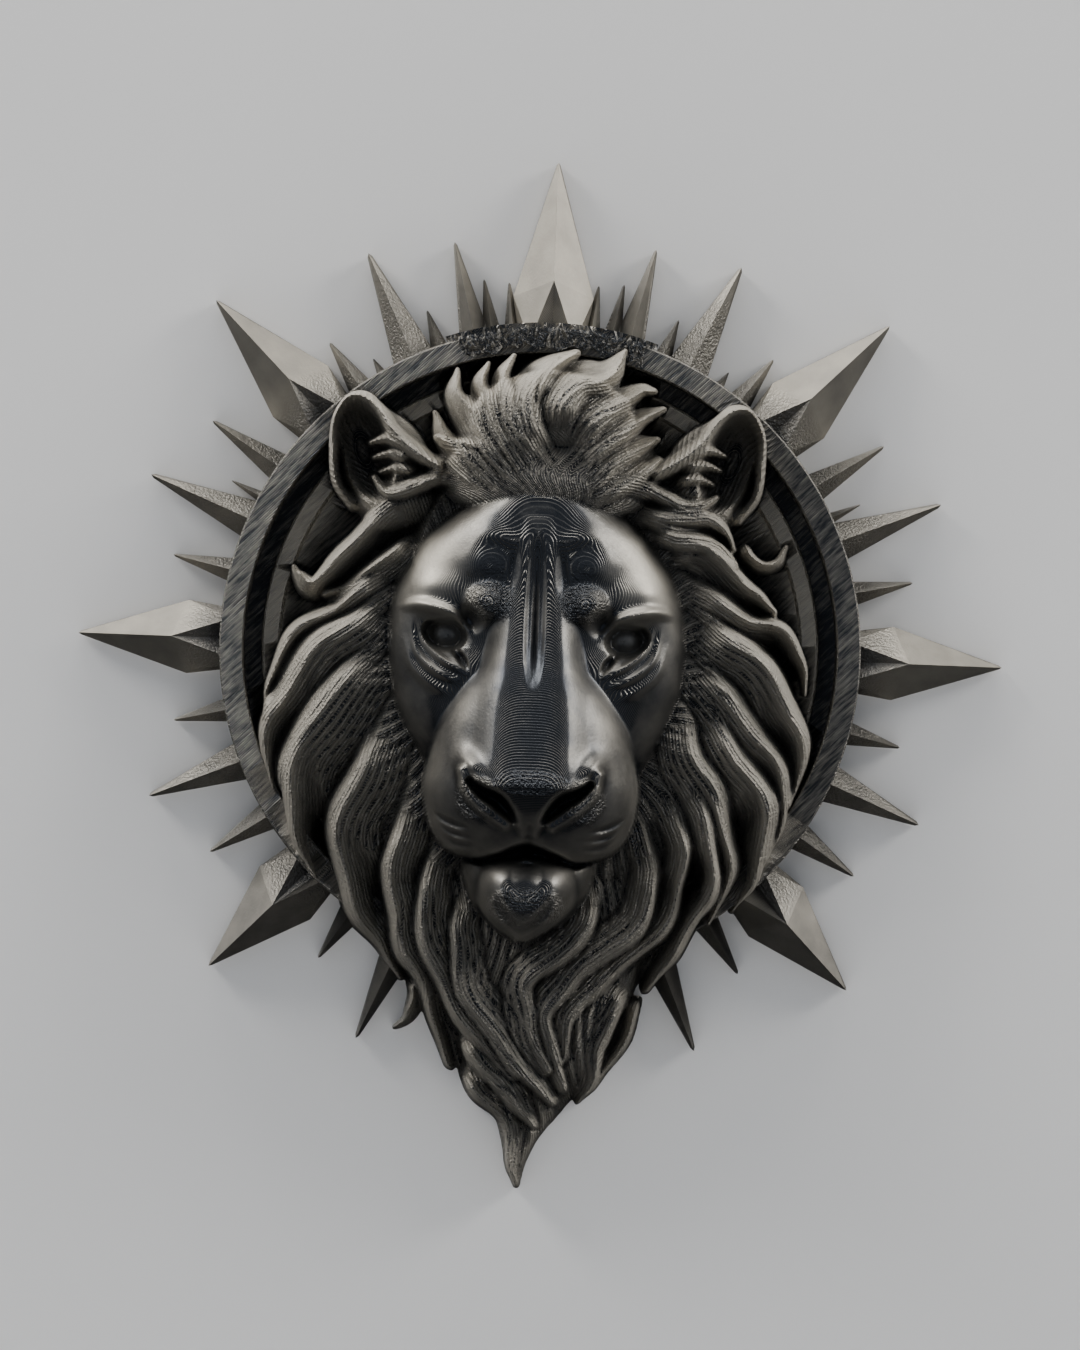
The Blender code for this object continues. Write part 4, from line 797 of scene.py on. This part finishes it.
CRYSTAL_RIDGE = 10.9


def crystal_form(bm):
    """The crystal before it is stretched: foot at the origin, tip upwards."""
    points = {
        "tip": (CRYSTAL_LENGTH, 0, TIP_RIDGE_HEIGHT),
        "tip_l": (CRYSTAL_LENGTH - TIP_BEVEL, -TIP_BLUNT, TIP_SIDE_HEIGHT),
        "tip_r": (CRYSTAL_LENGTH - TIP_BEVEL, TIP_BLUNT, TIP_SIDE_HEIGHT),
        "root_l": (0, -CRYSTAL_HALF, RAY_SIDE_HEIGHT - RAY_ROOT_STEP),
        "root_r": (0, CRYSTAL_HALF, RAY_SIDE_HEIGHT - RAY_ROOT_STEP),
        "ridge": (0, 0, CRYSTAL_RIDGE),
    }
    faces = [("tip", "ridge", "root_l"), ("tip", "root_l", "tip_l"), ("tip", "root_r", "ridge"),
             ("tip", "tip_r", "root_r"), ("tip", "tip_l", "tip_r")]
    outline = ["tip_l", "root_l", "ridge", "root_r", "tip_r"]
    place_ray(bm, 0, points, faces, outline)


def add_math(tree, operation, *values, clamp=False):
    """A math node in a tree; each value is a number or the socket that it comes from."""
    node = tree.nodes.new("ShaderNodeMath")
    node.operation = operation
    node.use_clamp = clamp
    for socket, value in zip(node.inputs, values):
        if isinstance(value, (int, float)):
            socket.default_value = value
        else:
            tree.links.new(value, socket)
    return node.outputs[0]


def crystal_tree():
    """Geometry nodes that stand a stretched crystal on every point."""
    tree = bpy.data.node_groups.new("crystals_round_the_ring", "GeometryNodeTree")
    nodes, links = tree.nodes, tree.links
    tree.interface.new_socket("Points", in_out="INPUT", socket_type="NodeSocketGeometry")
    for name in ("Root Radius", "Ridge Base", "Ridge Gain"):
        tree.interface.new_socket(name, in_out="INPUT", socket_type="NodeSocketFloat")
    tree.interface.new_socket("Crystal", in_out="INPUT", socket_type="NodeSocketObject")
    tree.interface.new_socket("Finish", in_out="INPUT", socket_type="NodeSocketMaterial")
    tree.interface.new_socket("Rays", in_out="OUTPUT", socket_type="NodeSocketGeometry")
    given = nodes.new("NodeGroupInput").outputs

    def listed(name):
        node = nodes.new("GeometryNodeInputNamedAttribute")
        node.data_type = "FLOAT"
        node.inputs["Name"].default_value = name
        return node.outputs["Attribute"]

    def vector(x, y, z):
        node = nodes.new("ShaderNodeCombineXYZ")
        for socket, value in zip(node.inputs, (x, y, z)):
            if value is not None:
                links.new(value, socket)
        return node.outputs[0]

    turn, tip, half = listed("turn"), listed("tip"), listed("half")
    root = given["Root Radius"]
    stand = nodes.new("GeometryNodeSetPosition")
    links.new(given["Points"], stand.inputs["Geometry"])
    across = add_math(tree, "MULTIPLY", add_math(tree, "SINE", turn), root)
    above = add_math(tree, "MULTIPLY", add_math(tree, "COSINE", turn), root)
    links.new(vector(across, None, above), stand.inputs["Position"])
    ridge = add_math(tree, "MULTIPLY_ADD", given["Ridge Gain"], half, given["Ridge Base"])
    longer = add_math(tree, "DIVIDE", add_math(tree, "SUBTRACT", tip, root), CRYSTAL_LENGTH * MM)
    crystal = nodes.new("GeometryNodeObjectInfo")
    links.new(given["Crystal"], crystal.inputs["Object"])
    wider = add_math(tree, "DIVIDE", half, CRYSTAL_HALF * MM)
    higher = add_math(tree, "DIVIDE", ridge, CRYSTAL_RIDGE * MM)
    each = nodes.new("GeometryNodeInstanceOnPoints")
    links.new(stand.outputs[0], each.inputs["Points"])
    links.new(crystal.outputs["Geometry"], each.inputs["Instance"])
    links.new(vector(None, turn, None), each.inputs["Rotation"])
    links.new(vector(wider, higher, longer), each.inputs["Scale"])
    real = nodes.new("GeometryNodeRealizeInstances")
    links.new(each.outputs[0], real.inputs["Geometry"])
    finish = nodes.new("GeometryNodeSetMaterial")
    links.new(real.outputs[0], finish.inputs["Geometry"])
    links.new(given["Finish"], finish.inputs["Material"])
    links.new(finish.outputs[0], nodes.new("NodeGroupOutput").inputs["Rays"])
    return tree


def set_crystals(name, table, tree, crystal, finish):
    """Run the tree on a point for each listed ray and keep what it makes as a plain mesh."""
    points = bpy.data.meshes.new(name)
    points.from_pydata([(0, 0, 0)] * len(table), [], [])
    for column, (key, unit) in enumerate((("turn", math.radians(1)), ("tip", MM), ("half", MM))):
        values = [row[column] * unit for row in table]
        points.attributes.new(key, "FLOAT", "POINT").data.foreach_set("value", values)
    thing = bpy.data.objects.new(name, points)
    bpy.context.collection.objects.link(thing)
    grow = thing.modifiers.new("crystals", "NODES")
    grow.node_group = tree
    given = {"Root Radius": RAY_ROOT * MM, "Ridge Base": PLAIN_RIDGE_BASE * MM,
             "Ridge Gain": PLAIN_RIDGE_GAIN, "Crystal": crystal, "Finish": finish}
    for item in tree.interface.items_tree:
        if item.name in given:
            grow[item.identifier] = given[item.name]
    thing.data = finished_mesh(thing)
    thing.modifiers.clear()
    return thing


crystal = ray_object("crystal", crystal_form)
finish = bpy.data.materials.new("dark_silver_print_with_painted_light")
plain = sorted([(side * angle, tip, half) for angle, tip, half in PLAIN_RAYS for side in (-1, 1)]
               + [RIGHT_ONLY_RAY])
tree = crystal_tree()
for name, first in (("plain_rays_first", 0), ("plain_rays_between", 1)):
    rays.append(set_crystals(name, plain[first::2], tree, crystal, finish))
bpy.data.objects.remove(crystal, do_unlink=True)


# Ledge: the broken shelf that laps over the top of the ring, between the ear tips.
# It is what is left of a skin that the printer laid over the feet of the top rays.
LEDGE_ANGLES = (-19.0, 19.0)
LEDGE_INNER = 70.6
LEDGE_OUTER = 76.5
LEDGE_FACE = 17.0
LEDGE_FOOT = 5.5
LEDGE_END_DROP = 3.0
LEDGE_EDGE_DROP = 0.8
LEDGE_NOTCH = 0.9
LEDGE_NIBBLE = 0.3
LEDGE_STEPS = 90
LEDGE_ROWS = 7
LEDGE_ROUGH = 0.35


def make_ledge():
    """Rows of points across the ring, rough on top, closed to one body."""
    bm = bmesh.new()
    chance = np.random.default_rng(7)
    rows = []
    for k, a in enumerate(np.radians(np.linspace(*LEDGE_ANGLES, LEDGE_STEPS))):
        inner = LEDGE_INNER + LEDGE_NOTCH * math.sin(0.43 * k) * math.sin(0.21 * k + 0.4)
        inner += LEDGE_NIBBLE * chance.random()
        face = LEDGE_FACE - LEDGE_END_DROP * (2 * k / (LEDGE_STEPS - 1) - 1) ** 6
        corners = [(inner, LEDGE_FOOT)]
        for step in range(LEDGE_ROWS):
            share = step / (LEDGE_ROWS - 1)
            height = face - LEDGE_EDGE_DROP * (1 - share)
            height += LEDGE_ROUGH * (chance.random() - 0.5) * 2
            corners.append((inner + (LEDGE_OUTER - inner) * share, height))
        corners.append((LEDGE_OUTER, LEDGE_FOOT))
        rows.append([bm.verts.new((r * math.sin(a) * MM, -h * MM, r * math.cos(a) * MM))
                     for r, h in corners])
    for row, following in zip(rows, rows[1:]):
        for k in range(len(row)):
            n = (k + 1) % len(row)
            bm.faces.new((row[k], row[n], following[n], following[k]))
    bm.faces.new(rows[0])
    bm.faces.new(rows[-1][::-1])
    bmesh.ops.triangulate(bm, faces=bm.faces)
    bmesh.ops.recalc_face_normals(bm, faces=bm.faces)
    return make_object("ledge_form", bm)


# Whole print: head, plate, rays and ledge fused into one body, cut flat where it meets the
# wall. No seam shows between them on the real piece.


def fuse(body, shapes):
    """Join the shapes to the body, close it at the wall and leave plain triangles."""
    for shape in shapes:
        union = body.modifiers.new(shape.name, "BOOLEAN")
        union.operation = "UNION"
        union.solver = "MANIFOLD"
        union.object = shape
    body.data = finished_mesh(body)
    body.modifiers.clear()
    for shape in shapes:
        bpy.data.objects.remove(shape, do_unlink=True)
    bm = bmesh.new()
    bm.from_mesh(body.data)
    bmesh.ops.remove_doubles(bm, verts=bm.verts, dist=1e-6)
    close_at(bm, 0.0)
    bmesh.ops.triangulate(bm, faces=bm.faces)
    bm.to_mesh(body.data)
    bm.free()


fuse(mask, rays + [make_ledge(), head])


# Silver rub and painted light: warm silver wiped by hand over the dark print. It caught what
# stands proud, the crystals and the sides of the forehead, and stayed out of the creases and the
# groove. The same shares paint light: a painted highlight on the sides of the forehead and on what
# stands proud, painted shade in the creases, the groove, the discs over the brow, the bridge of the
# nose, the eyeballs and the lower rays, and painted light that lifts the disc and band out of the
# ring's shadow. These shares are stored on the points.
ON_HEAD_WITHIN = 1.2
PAST_RING = 0.3
PAST_STEP = 0.1
# More silver on what stands proud and less in the creases: partly rub, partly a painted highlight
# on the proud and painted shade in the creases.
WIDE_REACH = 10
WIDE_DEPTH = 4.0
WIDE_RUB_AND_SHADING = 0.06
FINE_REACH = 3
FINE_DEPTH = 0.8
CREASE_RUB_AND_SHADING = 0.16
HAIR_RUB = 0.42
SKIN_RUB = 0.05
# Painted shade on the eyeballs under the lids.
EYE_SHADE = 0.08
RAY_RUB = 0.5
RING_RUB = 0.2
# The groove stays dark: silver kept out of it, and painted shade from the ring's wall.
GROOVE_RUB_AND_SHADE = 0.05
# The extra silver on the band and disc is painted light that lifts them out of the ring's shadow.
BAND_RUB_AND_FILL_LIGHT = 0.9
DISC_RUB_AND_FILL_LIGHT = 0.8
SHARD_RUB = 0.15
SHARD_REACH = 90.0
SHARD_SIDES = (10.0, 48.0)
# Painted shade: the rays below the middle get darker towards the bottom, as under light from above.
LOW_RAY_SHADE = 0.004
# Silver worn bare on the sides of the forehead, which is also a painted highlight there.
WORN_AND_LIT_PATCH = ((25.5, 18.0), (9.0, 12.0))
WORN_AND_LIT_RUB = 0.45
UNLINED_PATCHES = [((25.5, 18.0), (9.5, 13.0), 1.0), ((0.0, 31.5), (17.0, 6.5), 0.42),
                   ((11.6, 19.2), (4.4, 4.2), 0.8)]
# Painted shade on the discs over the brow and on the bridge of the nose.
SHADE_PATCHES = [((11.6, 19.2), (4.6, 4.4), 0.15), ((0.0, -13.0), (7.5, 20.0), 0.15)]
BALL_SHOWN = (5.2, 4.2)
SHARP_EDGE = 35.0
FACET_DEPTH = 16.5


def sample(values, x, z):
    """Read a map of the relief's grid at any x and z."""
    i = np.clip((z - HEAD_FOOT) / HEAD_STEP, 0, values.shape[0] - 1.001)
    k = np.clip((x + HEAD_SIDE) / HEAD_STEP, 0, values.shape[1] - 1.001)
    row, column = i.astype(int), k.astype(int)
    up_share, side_share = i - row, k - column
    here = values[row, column] * (1 - side_share) + values[row, column + 1] * side_share
    above = values[row + 1, column] * (1 - side_share) + values[row + 1, column + 1] * side_share
    return here * (1 - up_share) + above * up_share


def box_blur(h, reach, passes=2):
    """A wide, soft blur of the relief."""
    for _ in range(passes):
        for axis in (0, 1):
            edges = [(reach + 1, reach) if a == axis else (0, 0) for a in (0, 1)]
            total = np.pad(h, edges, mode="edge").cumsum(axis=axis)
            ahead = np.take(total, range(2 * reach + 1, total.shape[axis]), axis=axis)
            behind = np.take(total, range(0, total.shape[axis] - 2 * reach - 1), axis=axis)
            h = (ahead - behind) / (2 * reach + 1)
    return h


def mark_rub_and_light(body):
    """Store on each point how much silver it took, with painted highlight and shade added, and what
    the finish needs to know of it.
    """
    count = len(body.data.vertices)
    co = np.empty(count * 3)
    body.data.vertices.foreach_get("co", co)
    x, y, z = (co.reshape(-1, 3) / MM).T
    on_head = np.abs(sample(relief, x, z) + y) < ON_HEAD_WITHIN
    floor = np.maximum(relief, DISC_FACE)
    proud = sample(floor - box_blur(floor, WIDE_REACH), x, z) / WIDE_DEPTH
    crisp = sample(floor - box_blur(floor, FINE_REACH), x, z) / FINE_DEPTH
    bare = sample(skin, x, z)
    # Hair and skin rub, plus a painted highlight on what stands proud and painted shade in the
    # creases.
    head_rub_and_light = (HAIR_RUB + (SKIN_RUB - HAIR_RUB) * bare + WIDE_RUB_AND_SHADING * np.clip(proud, -1, 1)
                + CREASE_RUB_AND_SHADING * np.clip(crisp, -1, 1))
    radius = np.hypot(x, z)
    on_ray = radius > RING_OUTER + PAST_RING
    plate_rub_and_light = np.select([on_ray, radius > RING_INNER - PAST_STEP,
                           radius > BAND_OUTER + PAST_STEP, radius > BAND_INNER - PAST_STEP],
                          [RAY_RUB, RING_RUB, GROOVE_RUB_AND_SHADE, BAND_RUB_AND_FILL_LIGHT], DISC_RUB_AND_FILL_LIGHT)
    shard = on_ray & (radius < SHARD_REACH) & (z > 0)
    shard &= (np.abs(x) > SHARD_SIDES[0]) & (np.abs(x) < SHARD_SIDES[1])
    plate_rub_and_light = np.where(shard, SHARD_RUB, plate_rub_and_light)
    # Painted shade on the lower rays, darker towards the bottom.
    plate_rub_and_light += np.where(on_ray, LOW_RAY_SHADE * np.minimum(z, 0), 0)
    bare = np.where(on_head, bare, on_ray)
    rub_and_light = np.where(on_head, head_rub_and_light, plate_rub_and_light)
    worn_and_lit, unlined = np.zeros(count), np.zeros(count)

    def patch(side, place, radii):
        return np.exp(-oval(x, z, beside(side, [place])[0], radii)) * on_head

    for side in (-1, 1):
        # Worn silver and a painted highlight on the sides of the forehead.
        worn_and_lit += patch(side, *WORN_AND_LIT_PATCH) * bare
        for place, radii, strength in UNLINED_PATCHES:
            unlined += strength * patch(side, place, radii)
        # Painted shade on the brow discs and the nose bridge.
        for place, radii, strength in SHADE_PATCHES:
            rub_and_light -= strength * patch(side, place, radii) * bare
        # Painted shade on each eyeball.
        ball = (oval(x, z, beside(side, [BALL])[0], BALL_SHOWN) < 1) * on_head
        rub_and_light = np.where(ball, EYE_SHADE, rub_and_light)
        unlined += ball
    # The stored share is silver rub with the painted highlight and shade added in.
    marks = {"rub_and_light": rub_and_light + WORN_AND_LIT_RUB * worn_and_lit,
             "sanded": np.where(on_head, sample(smooth, x, z), bare),
             "combed": sample(combed, x, z),
             "hair": on_head * (1 - bare),
             "lined": 1 - np.clip(unlined, 0, 1)}
    for name, values in marks.items():
        body.data.attributes.new(name, "FLOAT", "POINT").data.foreach_set("value", values)


def round_and_facet(body):
    """Shade the head round, its sharp edges sharp, and each face of the crystals flat."""
    body.data.shade_smooth()
    body.data.set_sharp_from_angle(angle=math.radians(SHARP_EDGE))
    faces = body.data.polygons
    centres = np.empty(len(faces) * 3)
    faces.foreach_get("center", centres)
    x, y, z = (centres.reshape(-1, 3) / MM).T
    crystal_face = (np.hypot(x, z) > RING_OUTER + PAST_RING + PAST_STEP) & (-y < FACET_DEPTH)
    faces.foreach_set("use_smooth", ~crystal_face)


mark_rub_and_light(mask)
round_and_facet(mask)


# Finish of the print: dark gunmetal plastic under the silver, with painted highlight and shade in
# its colour. The layers are 0.2 mm thick, parallel to the wall, and show as contour lines on gentle
# slopes. Flat faces show the beads that the nozzle laid at 45 degrees, 0.44 mm apart, and streaks
# of silver along them.
DARK = (0.042, 0.046, 0.053, 1.0)
SILVER = (0.49, 0.462, 0.405, 1.0)
METAL_SHARE = 0.9
# More silver on slopes: partly rub on the layers' edges, partly a painted highlight.
SLOPE_RUB_AND_LIGHT = 0.62
SLOPE_RUB_AND_LIGHT_MOST = 0.22
BLOTCH_RUB = 0.5
LAYER_PITCH = 0.2 * MM
TREAD_SHARE = 0.76
# Painted highlight on the layers' risers and painted shade on their treads.
RISER_HIGHLIGHT = 0.6
TREAD_SHADE_SHARE = 0.7
LINES_FROM = 0.82
LINES_RAMP = 8.0
TILT_RAMP = 60.0
LEVEL = 0.999
NEARLY_LEVEL = 0.972
NEARLY_RAMP = 50.0
BEAD_PITCH = 0.44 * MM
BEAD_CUT = 0.038
STREAK_DRAW = 0.1
STREAK_RUB = 1.5
STREAK_CUT = 0.12
HAIR_PITCH = 1.5
HAIR_CUT = 0.36
HAIR_ROUGH = 0.12
HAIR_WAVER = 3.0
ROUGHEST = 0.14
SMOOTHEST = 0.3
RUB_ROUGH = 0.2
SANDED_SMOOTH = 0.01
SPECKLE = {"everywhere": 0.035, "nearly_level": 0.15, "hairy": 0.8}
NOISES = {"blotch": (140, 4.0, 0.55), "grain": (900, 4.0, 0.55), "speckle": (1500, 2.0, 0.55),
          "streak": (1000, 3.0, 0.6), "waver": (260, 2.0, 0.55)}


def print_finish(material):
    """Fill in the material, with painted highlight and shade in its colour; where it varies, it
    reads Object coordinates or a stored mark.
    """
    material.use_nodes = True
    tree = material.node_tree
    nodes, links = tree.nodes, tree.links
    shader = nodes["Principled BSDF"]
    shader.inputs["Metallic"].default_value = METAL_SHARE
    place = nodes.new("ShaderNodeTexCoord").outputs["Object"]
    split = nodes.new("ShaderNodeSeparateXYZ")
    links.new(place, split.inputs[0])
    x, y, z = split.outputs
    facing = nodes.new("ShaderNodeSeparateXYZ")
    links.new(nodes.new("ShaderNodeNewGeometry").outputs["Normal"], facing.inputs[0])

    def maths(operation, *values, clamp=False):
        return add_math(tree, operation, *values, clamp=clamp)

    def mark(name):
        node = nodes.new("ShaderNodeAttribute")
        node.attribute_name = name
        return node.outputs["Fac"]

    def noise(name, vector=place):
        node = nodes.new("ShaderNodeTexNoise")
        for key, value in zip(("Scale", "Detail", "Roughness"), NOISES[name]):
            node.inputs[key].default_value = value
        links.new(vector, node.inputs["Vector"])
        return node.outputs["Fac"]

    flat = maths("ABSOLUTE", facing.outputs["Y"])
    tilt = maths("SUBTRACT", 1.0, flat)
    level = maths("GREATER_THAN", flat, LEVEL)
    not_level = maths("SUBTRACT", 1.0, level)
    on_hair, sanded = mark("hair"), mark("sanded")

    # Contour lines: the layer steps in the bump, with a painted highlight on the steep risers and
    # painted shade on the level treads.
    turns = maths("FRACT", maths("DIVIDE", y, LAYER_PITCH))
    gentle = maths("MULTIPLY", maths("SUBTRACT", flat, LINES_FROM), LINES_RAMP, clamp=True)
    gentle = maths("MULTIPLY", gentle, maths("MULTIPLY", tilt, TILT_RAMP, clamp=True))
    gentle = maths("MULTIPLY", gentle, mark("lined"))
    riser_lit_tread_shaded = maths("SUBTRACT", maths("LESS_THAN", turns, 1 - TREAD_SHARE), TREAD_SHADE_SHARE)
    riser = maths("MULTIPLY", turns, TREAD_SHARE / (1 - TREAD_SHARE))
    layer = maths("MINIMUM", riser, maths("SUBTRACT", 1.0, turns))
    layer = maths("MULTIPLY", layer, maths("MULTIPLY", gentle, not_level))

    # Beads on level faces, with streaks drawn out along them.
    diagonal = maths("SUBTRACT", x, z)
    drawn = nodes.new("ShaderNodeCombineXYZ")
    along = maths("MULTIPLY", maths("ADD", x, z), STREAK_DRAW)
    for socket, value in zip(drawn.inputs, (diagonal, y, along)):
        links.new(value, socket)
    streak = maths("SUBTRACT", noise("streak", drawn.outputs[0]), 0.5)
    streak = maths("MULTIPLY", streak, maths("MULTIPLY", level, STREAK_RUB))
    bead = maths("SINE", maths("MULTIPLY", diagonal, 2 * math.pi / (BEAD_PITCH * math.sqrt(2))))
    bead = maths("MULTIPLY", bead, level)

    # Colour: the stored rub with its painted light, more silver and a painted highlight on slopes,
    # blotched as by a rag.
    slope_rub_and_light = maths("MINIMUM", maths("MULTIPLY", tilt, SLOPE_RUB_AND_LIGHT), SLOPE_RUB_AND_LIGHT_MOST)
    blotch = maths("MULTIPLY", maths("SUBTRACT", noise("blotch"), 0.5), BLOTCH_RUB)
    silver_and_light = maths("ADD", maths("ADD", mark("rub_and_light"), slope_rub_and_light), blotch)
    # Painted highlight on the risers, painted shade on the treads.
    silver_and_light = maths("ADD", silver_and_light, maths("MULTIPLY", maths("MULTIPLY", riser_lit_tread_shaded, RISER_HIGHLIGHT), gentle))
    silver_and_light = maths("ADD", silver_and_light, streak, clamp=True)
    colour = nodes.new("ShaderNodeMix")
    colour.data_type = "RGBA"
    colour.inputs["A"].default_value = DARK
    colour.inputs["B"].default_value = SILVER
    links.new(silver_and_light, colour.inputs["Factor"])
    links.new(colour.outputs["Result"], shader.inputs["Base Color"])

    rough = maths("MULTIPLY_ADD", noise("grain"), ROUGHEST, SMOOTHEST)
    rough = maths("MULTIPLY_ADD", silver_and_light, RUB_ROUGH, rough)
    rough = maths("MULTIPLY_ADD", sanded, -SANDED_SMOOTH, rough)
    rough = maths("MULTIPLY_ADD", on_hair, HAIR_ROUGH, rough)
    links.new(rough, shader.inputs["Roughness"])

    # Relief too fine for the mesh: layers, beads, speckle of the last layer, hair lines.
    nearly = maths("MULTIPLY", maths("SUBTRACT", flat, NEARLY_LEVEL), NEARLY_RAMP, clamp=True)
    nearly = maths("MULTIPLY", nearly, SPECKLE["nearly_level"])
    hairy = maths("MULTIPLY", maths("SUBTRACT", 1.0, sanded), SPECKLE["hairy"])
    coarse = maths("MULTIPLY", maths("MAXIMUM", nearly, hairy), not_level)
    speckle = maths("MULTIPLY", noise("speckle"), maths("ADD", coarse, SPECKLE["everywhere"]))
    waver = maths("MULTIPLY", noise("waver"), HAIR_WAVER)
    strand = maths("SINE", maths("MULTIPLY_ADD", mark("combed"), 2 * math.pi / HAIR_PITCH, waver))
    strand = maths("MULTIPLY", maths("ABSOLUTE", strand), on_hair)
    height = maths("MULTIPLY", layer, -LAYER_PITCH / MM)
    height = maths("MULTIPLY_ADD", bead, BEAD_CUT, height)
    height = maths("MULTIPLY_ADD", streak, STREAK_CUT, maths("ADD", height, speckle))
    height = maths("MULTIPLY_ADD", strand, -HAIR_CUT, height)
    bump = nodes.new("ShaderNodeBump")
    bump.inputs["Strength"].default_value = 1.0
    bump.inputs["Distance"].default_value = MM
    links.new(height, bump.inputs["Height"])
    links.new(bump.outputs["Normal"], shader.inputs["Normal"])


print_finish(finish)
mask.data.materials.clear()
mask.data.materials.append(finish)
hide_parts("lion_head_wall_mask")
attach(mask, "root")


# Studio: a pale wall that the mask hangs on and a pale floor below it, in matt paint. The
# wall is clear from behind and both stay dark in the mask's reflections.
WALL_GAP = 0.6
FLOOR_DROP = 0.9
SHEET_REACH = 4.0
WALL_SHADE = 0.8
FLOOR_SHADE = 0.7
PAINT_ROUGH = 0.9
REFLECTED_SHADE = 0.03


def pale_paint(name, shade, one_sided=False):
    """Matt paint that stays out of the mask's reflections; one-sided, it is clear from behind."""
    material = bpy.data.materials.new(name)
    material.use_nodes = True
    nodes, links = material.node_tree.nodes, material.node_tree.links
    paint = nodes["Principled BSDF"]
    paint.inputs["Base Color"].default_value = (shade, shade, shade, 1.0)
    paint.inputs["Roughness"].default_value = PAINT_ROUGH
    surface = nodes["Material Output"].inputs["Surface"]
    path = nodes.new("ShaderNodeLightPath")
    dark = nodes.new("ShaderNodeBsdfDiffuse")
    dark.inputs["Color"].default_value = (REFLECTED_SHADE,) * 3 + (1.0,)
    reflected = nodes.new("ShaderNodeMixShader")
    links.new(path.outputs["Is Glossy Ray"], reflected.inputs["Fac"])
    links.new(paint.outputs[0], reflected.inputs[1])
    links.new(dark.outputs[0], reflected.inputs[2])
    links.new(reflected.outputs[0], surface)
    if one_sided:
        behind = nodes.new("ShaderNodeNewGeometry").outputs["Backfacing"]
        mix = nodes.new("ShaderNodeMixShader")
        either = add_math(material.node_tree, "MAXIMUM", behind, path.outputs["Is Shadow Ray"])
        links.new(either, mix.inputs["Fac"])
        links.new(reflected.outputs[0], mix.inputs[1])
        links.new(nodes.new("ShaderNodeBsdfTransparent").outputs[0], mix.inputs[2])
        links.new(mix.outputs[0], surface)
    return material


def sheet(name, corners, material):
    """One flat face of the studio."""
    mesh = bpy.data.meshes.new(name)
    mesh.from_pydata(corners, [], [range(len(corners))])
    mesh.materials.append(material)
    thing = bpy.data.objects.new(name, mesh)
    bpy.context.collection.objects.link(thing)


far, low, back = SHEET_REACH, -FLOOR_DROP, WALL_GAP * MM
sheet("wall", [(-far, back, low), (far, back, low), (far, back, far), (-far, back, far)],
      pale_paint("pale_wall", WALL_SHADE, one_sided=True))
sheet("floor", [(-far, -far, low), (far, -far, low), (far, far, low), (-far, far, low)],
      pale_paint("pale_floor", FLOOR_SHADE))


# Lights: three wide soft ones close to the wall's plane, above, left and right, which graze
# the slopes of the relief, a plain one behind for the back, and a dim, cool room.
LIGHTS = [("top_middle", (0.0, -0.22, 1.6), (1.4, 0.5), 25, (1.0, 0.97, 0.92)),
          ("top_left", (-1.2, -0.22, 1.05), (1.3, 0.5), 27, (1.0, 0.97, 0.92)),
          ("top_right", (1.25, -0.25, 0.75), (1.1, 0.5), 19, (1.0, 0.97, 0.92)),
          ("back_fill", (-0.9, 1.2, 0.9), (1.2, 1.2), 40, (1.0, 1.0, 1.0))]
AIMED_AT = Vector((0, -0.02, 0))
ROOM_COLOUR = (0.74, 0.8, 0.9, 1.0)
ROOM_STRENGTH = 0.4

for name, place, size, power, colour in LIGHTS:
    lamp = bpy.data.lights.new(name, "AREA")
    lamp.shape = "RECTANGLE"
    lamp.size, lamp.size_y = size
    lamp.energy = power
    lamp.color = colour
    light = bpy.data.objects.new(name, lamp)
    bpy.context.collection.objects.link(light)
    light.location = place
    light.rotation_euler = (AIMED_AT - Vector(place)).to_track_quat("-Z", "Y").to_euler()

world = bpy.data.worlds.new("studio")
bpy.context.scene.world = world
world.use_nodes = True
world.node_tree.nodes["Background"].inputs["Color"].default_value = ROOM_COLOUR
world.node_tree.nodes["Background"].inputs["Strength"].default_value = ROOM_STRENGTH


# Camera: a long lens, square to the wall and level with the disc, rolled by as much as the
# mask hangs askew in the photograph. There is no depth of field.
CAMERA_AWAY = 5.0
VIEW_HEIGHT = 0.3164
VIEW_DROP = 0.00586
HANGS_ASKEW = math.radians(2.2)
SENSOR = 36.0
SEES_TO = 50.0
camera_data = bpy.data.cameras.new("camera")
camera_data.sensor_width = SENSOR
camera_data.lens = SENSOR * CAMERA_AWAY / VIEW_HEIGHT
camera_data.clip_end = SEES_TO
camera = bpy.data.objects.new("camera", camera_data)
bpy.context.collection.objects.link(camera)
right = Vector((math.cos(HANGS_ASKEW), 0, math.sin(HANGS_ASKEW)))
above = Vector((-math.sin(HANGS_ASKEW), 0, math.cos(HANGS_ASKEW)))
away = Vector((0, -1, 0))
turn = Matrix((right, above, away)).transposed().to_4x4()
camera.matrix_world = Matrix.Translation(-above * VIEW_DROP + away * CAMERA_AWAY) @ turn
bpy.context.scene.camera = camera
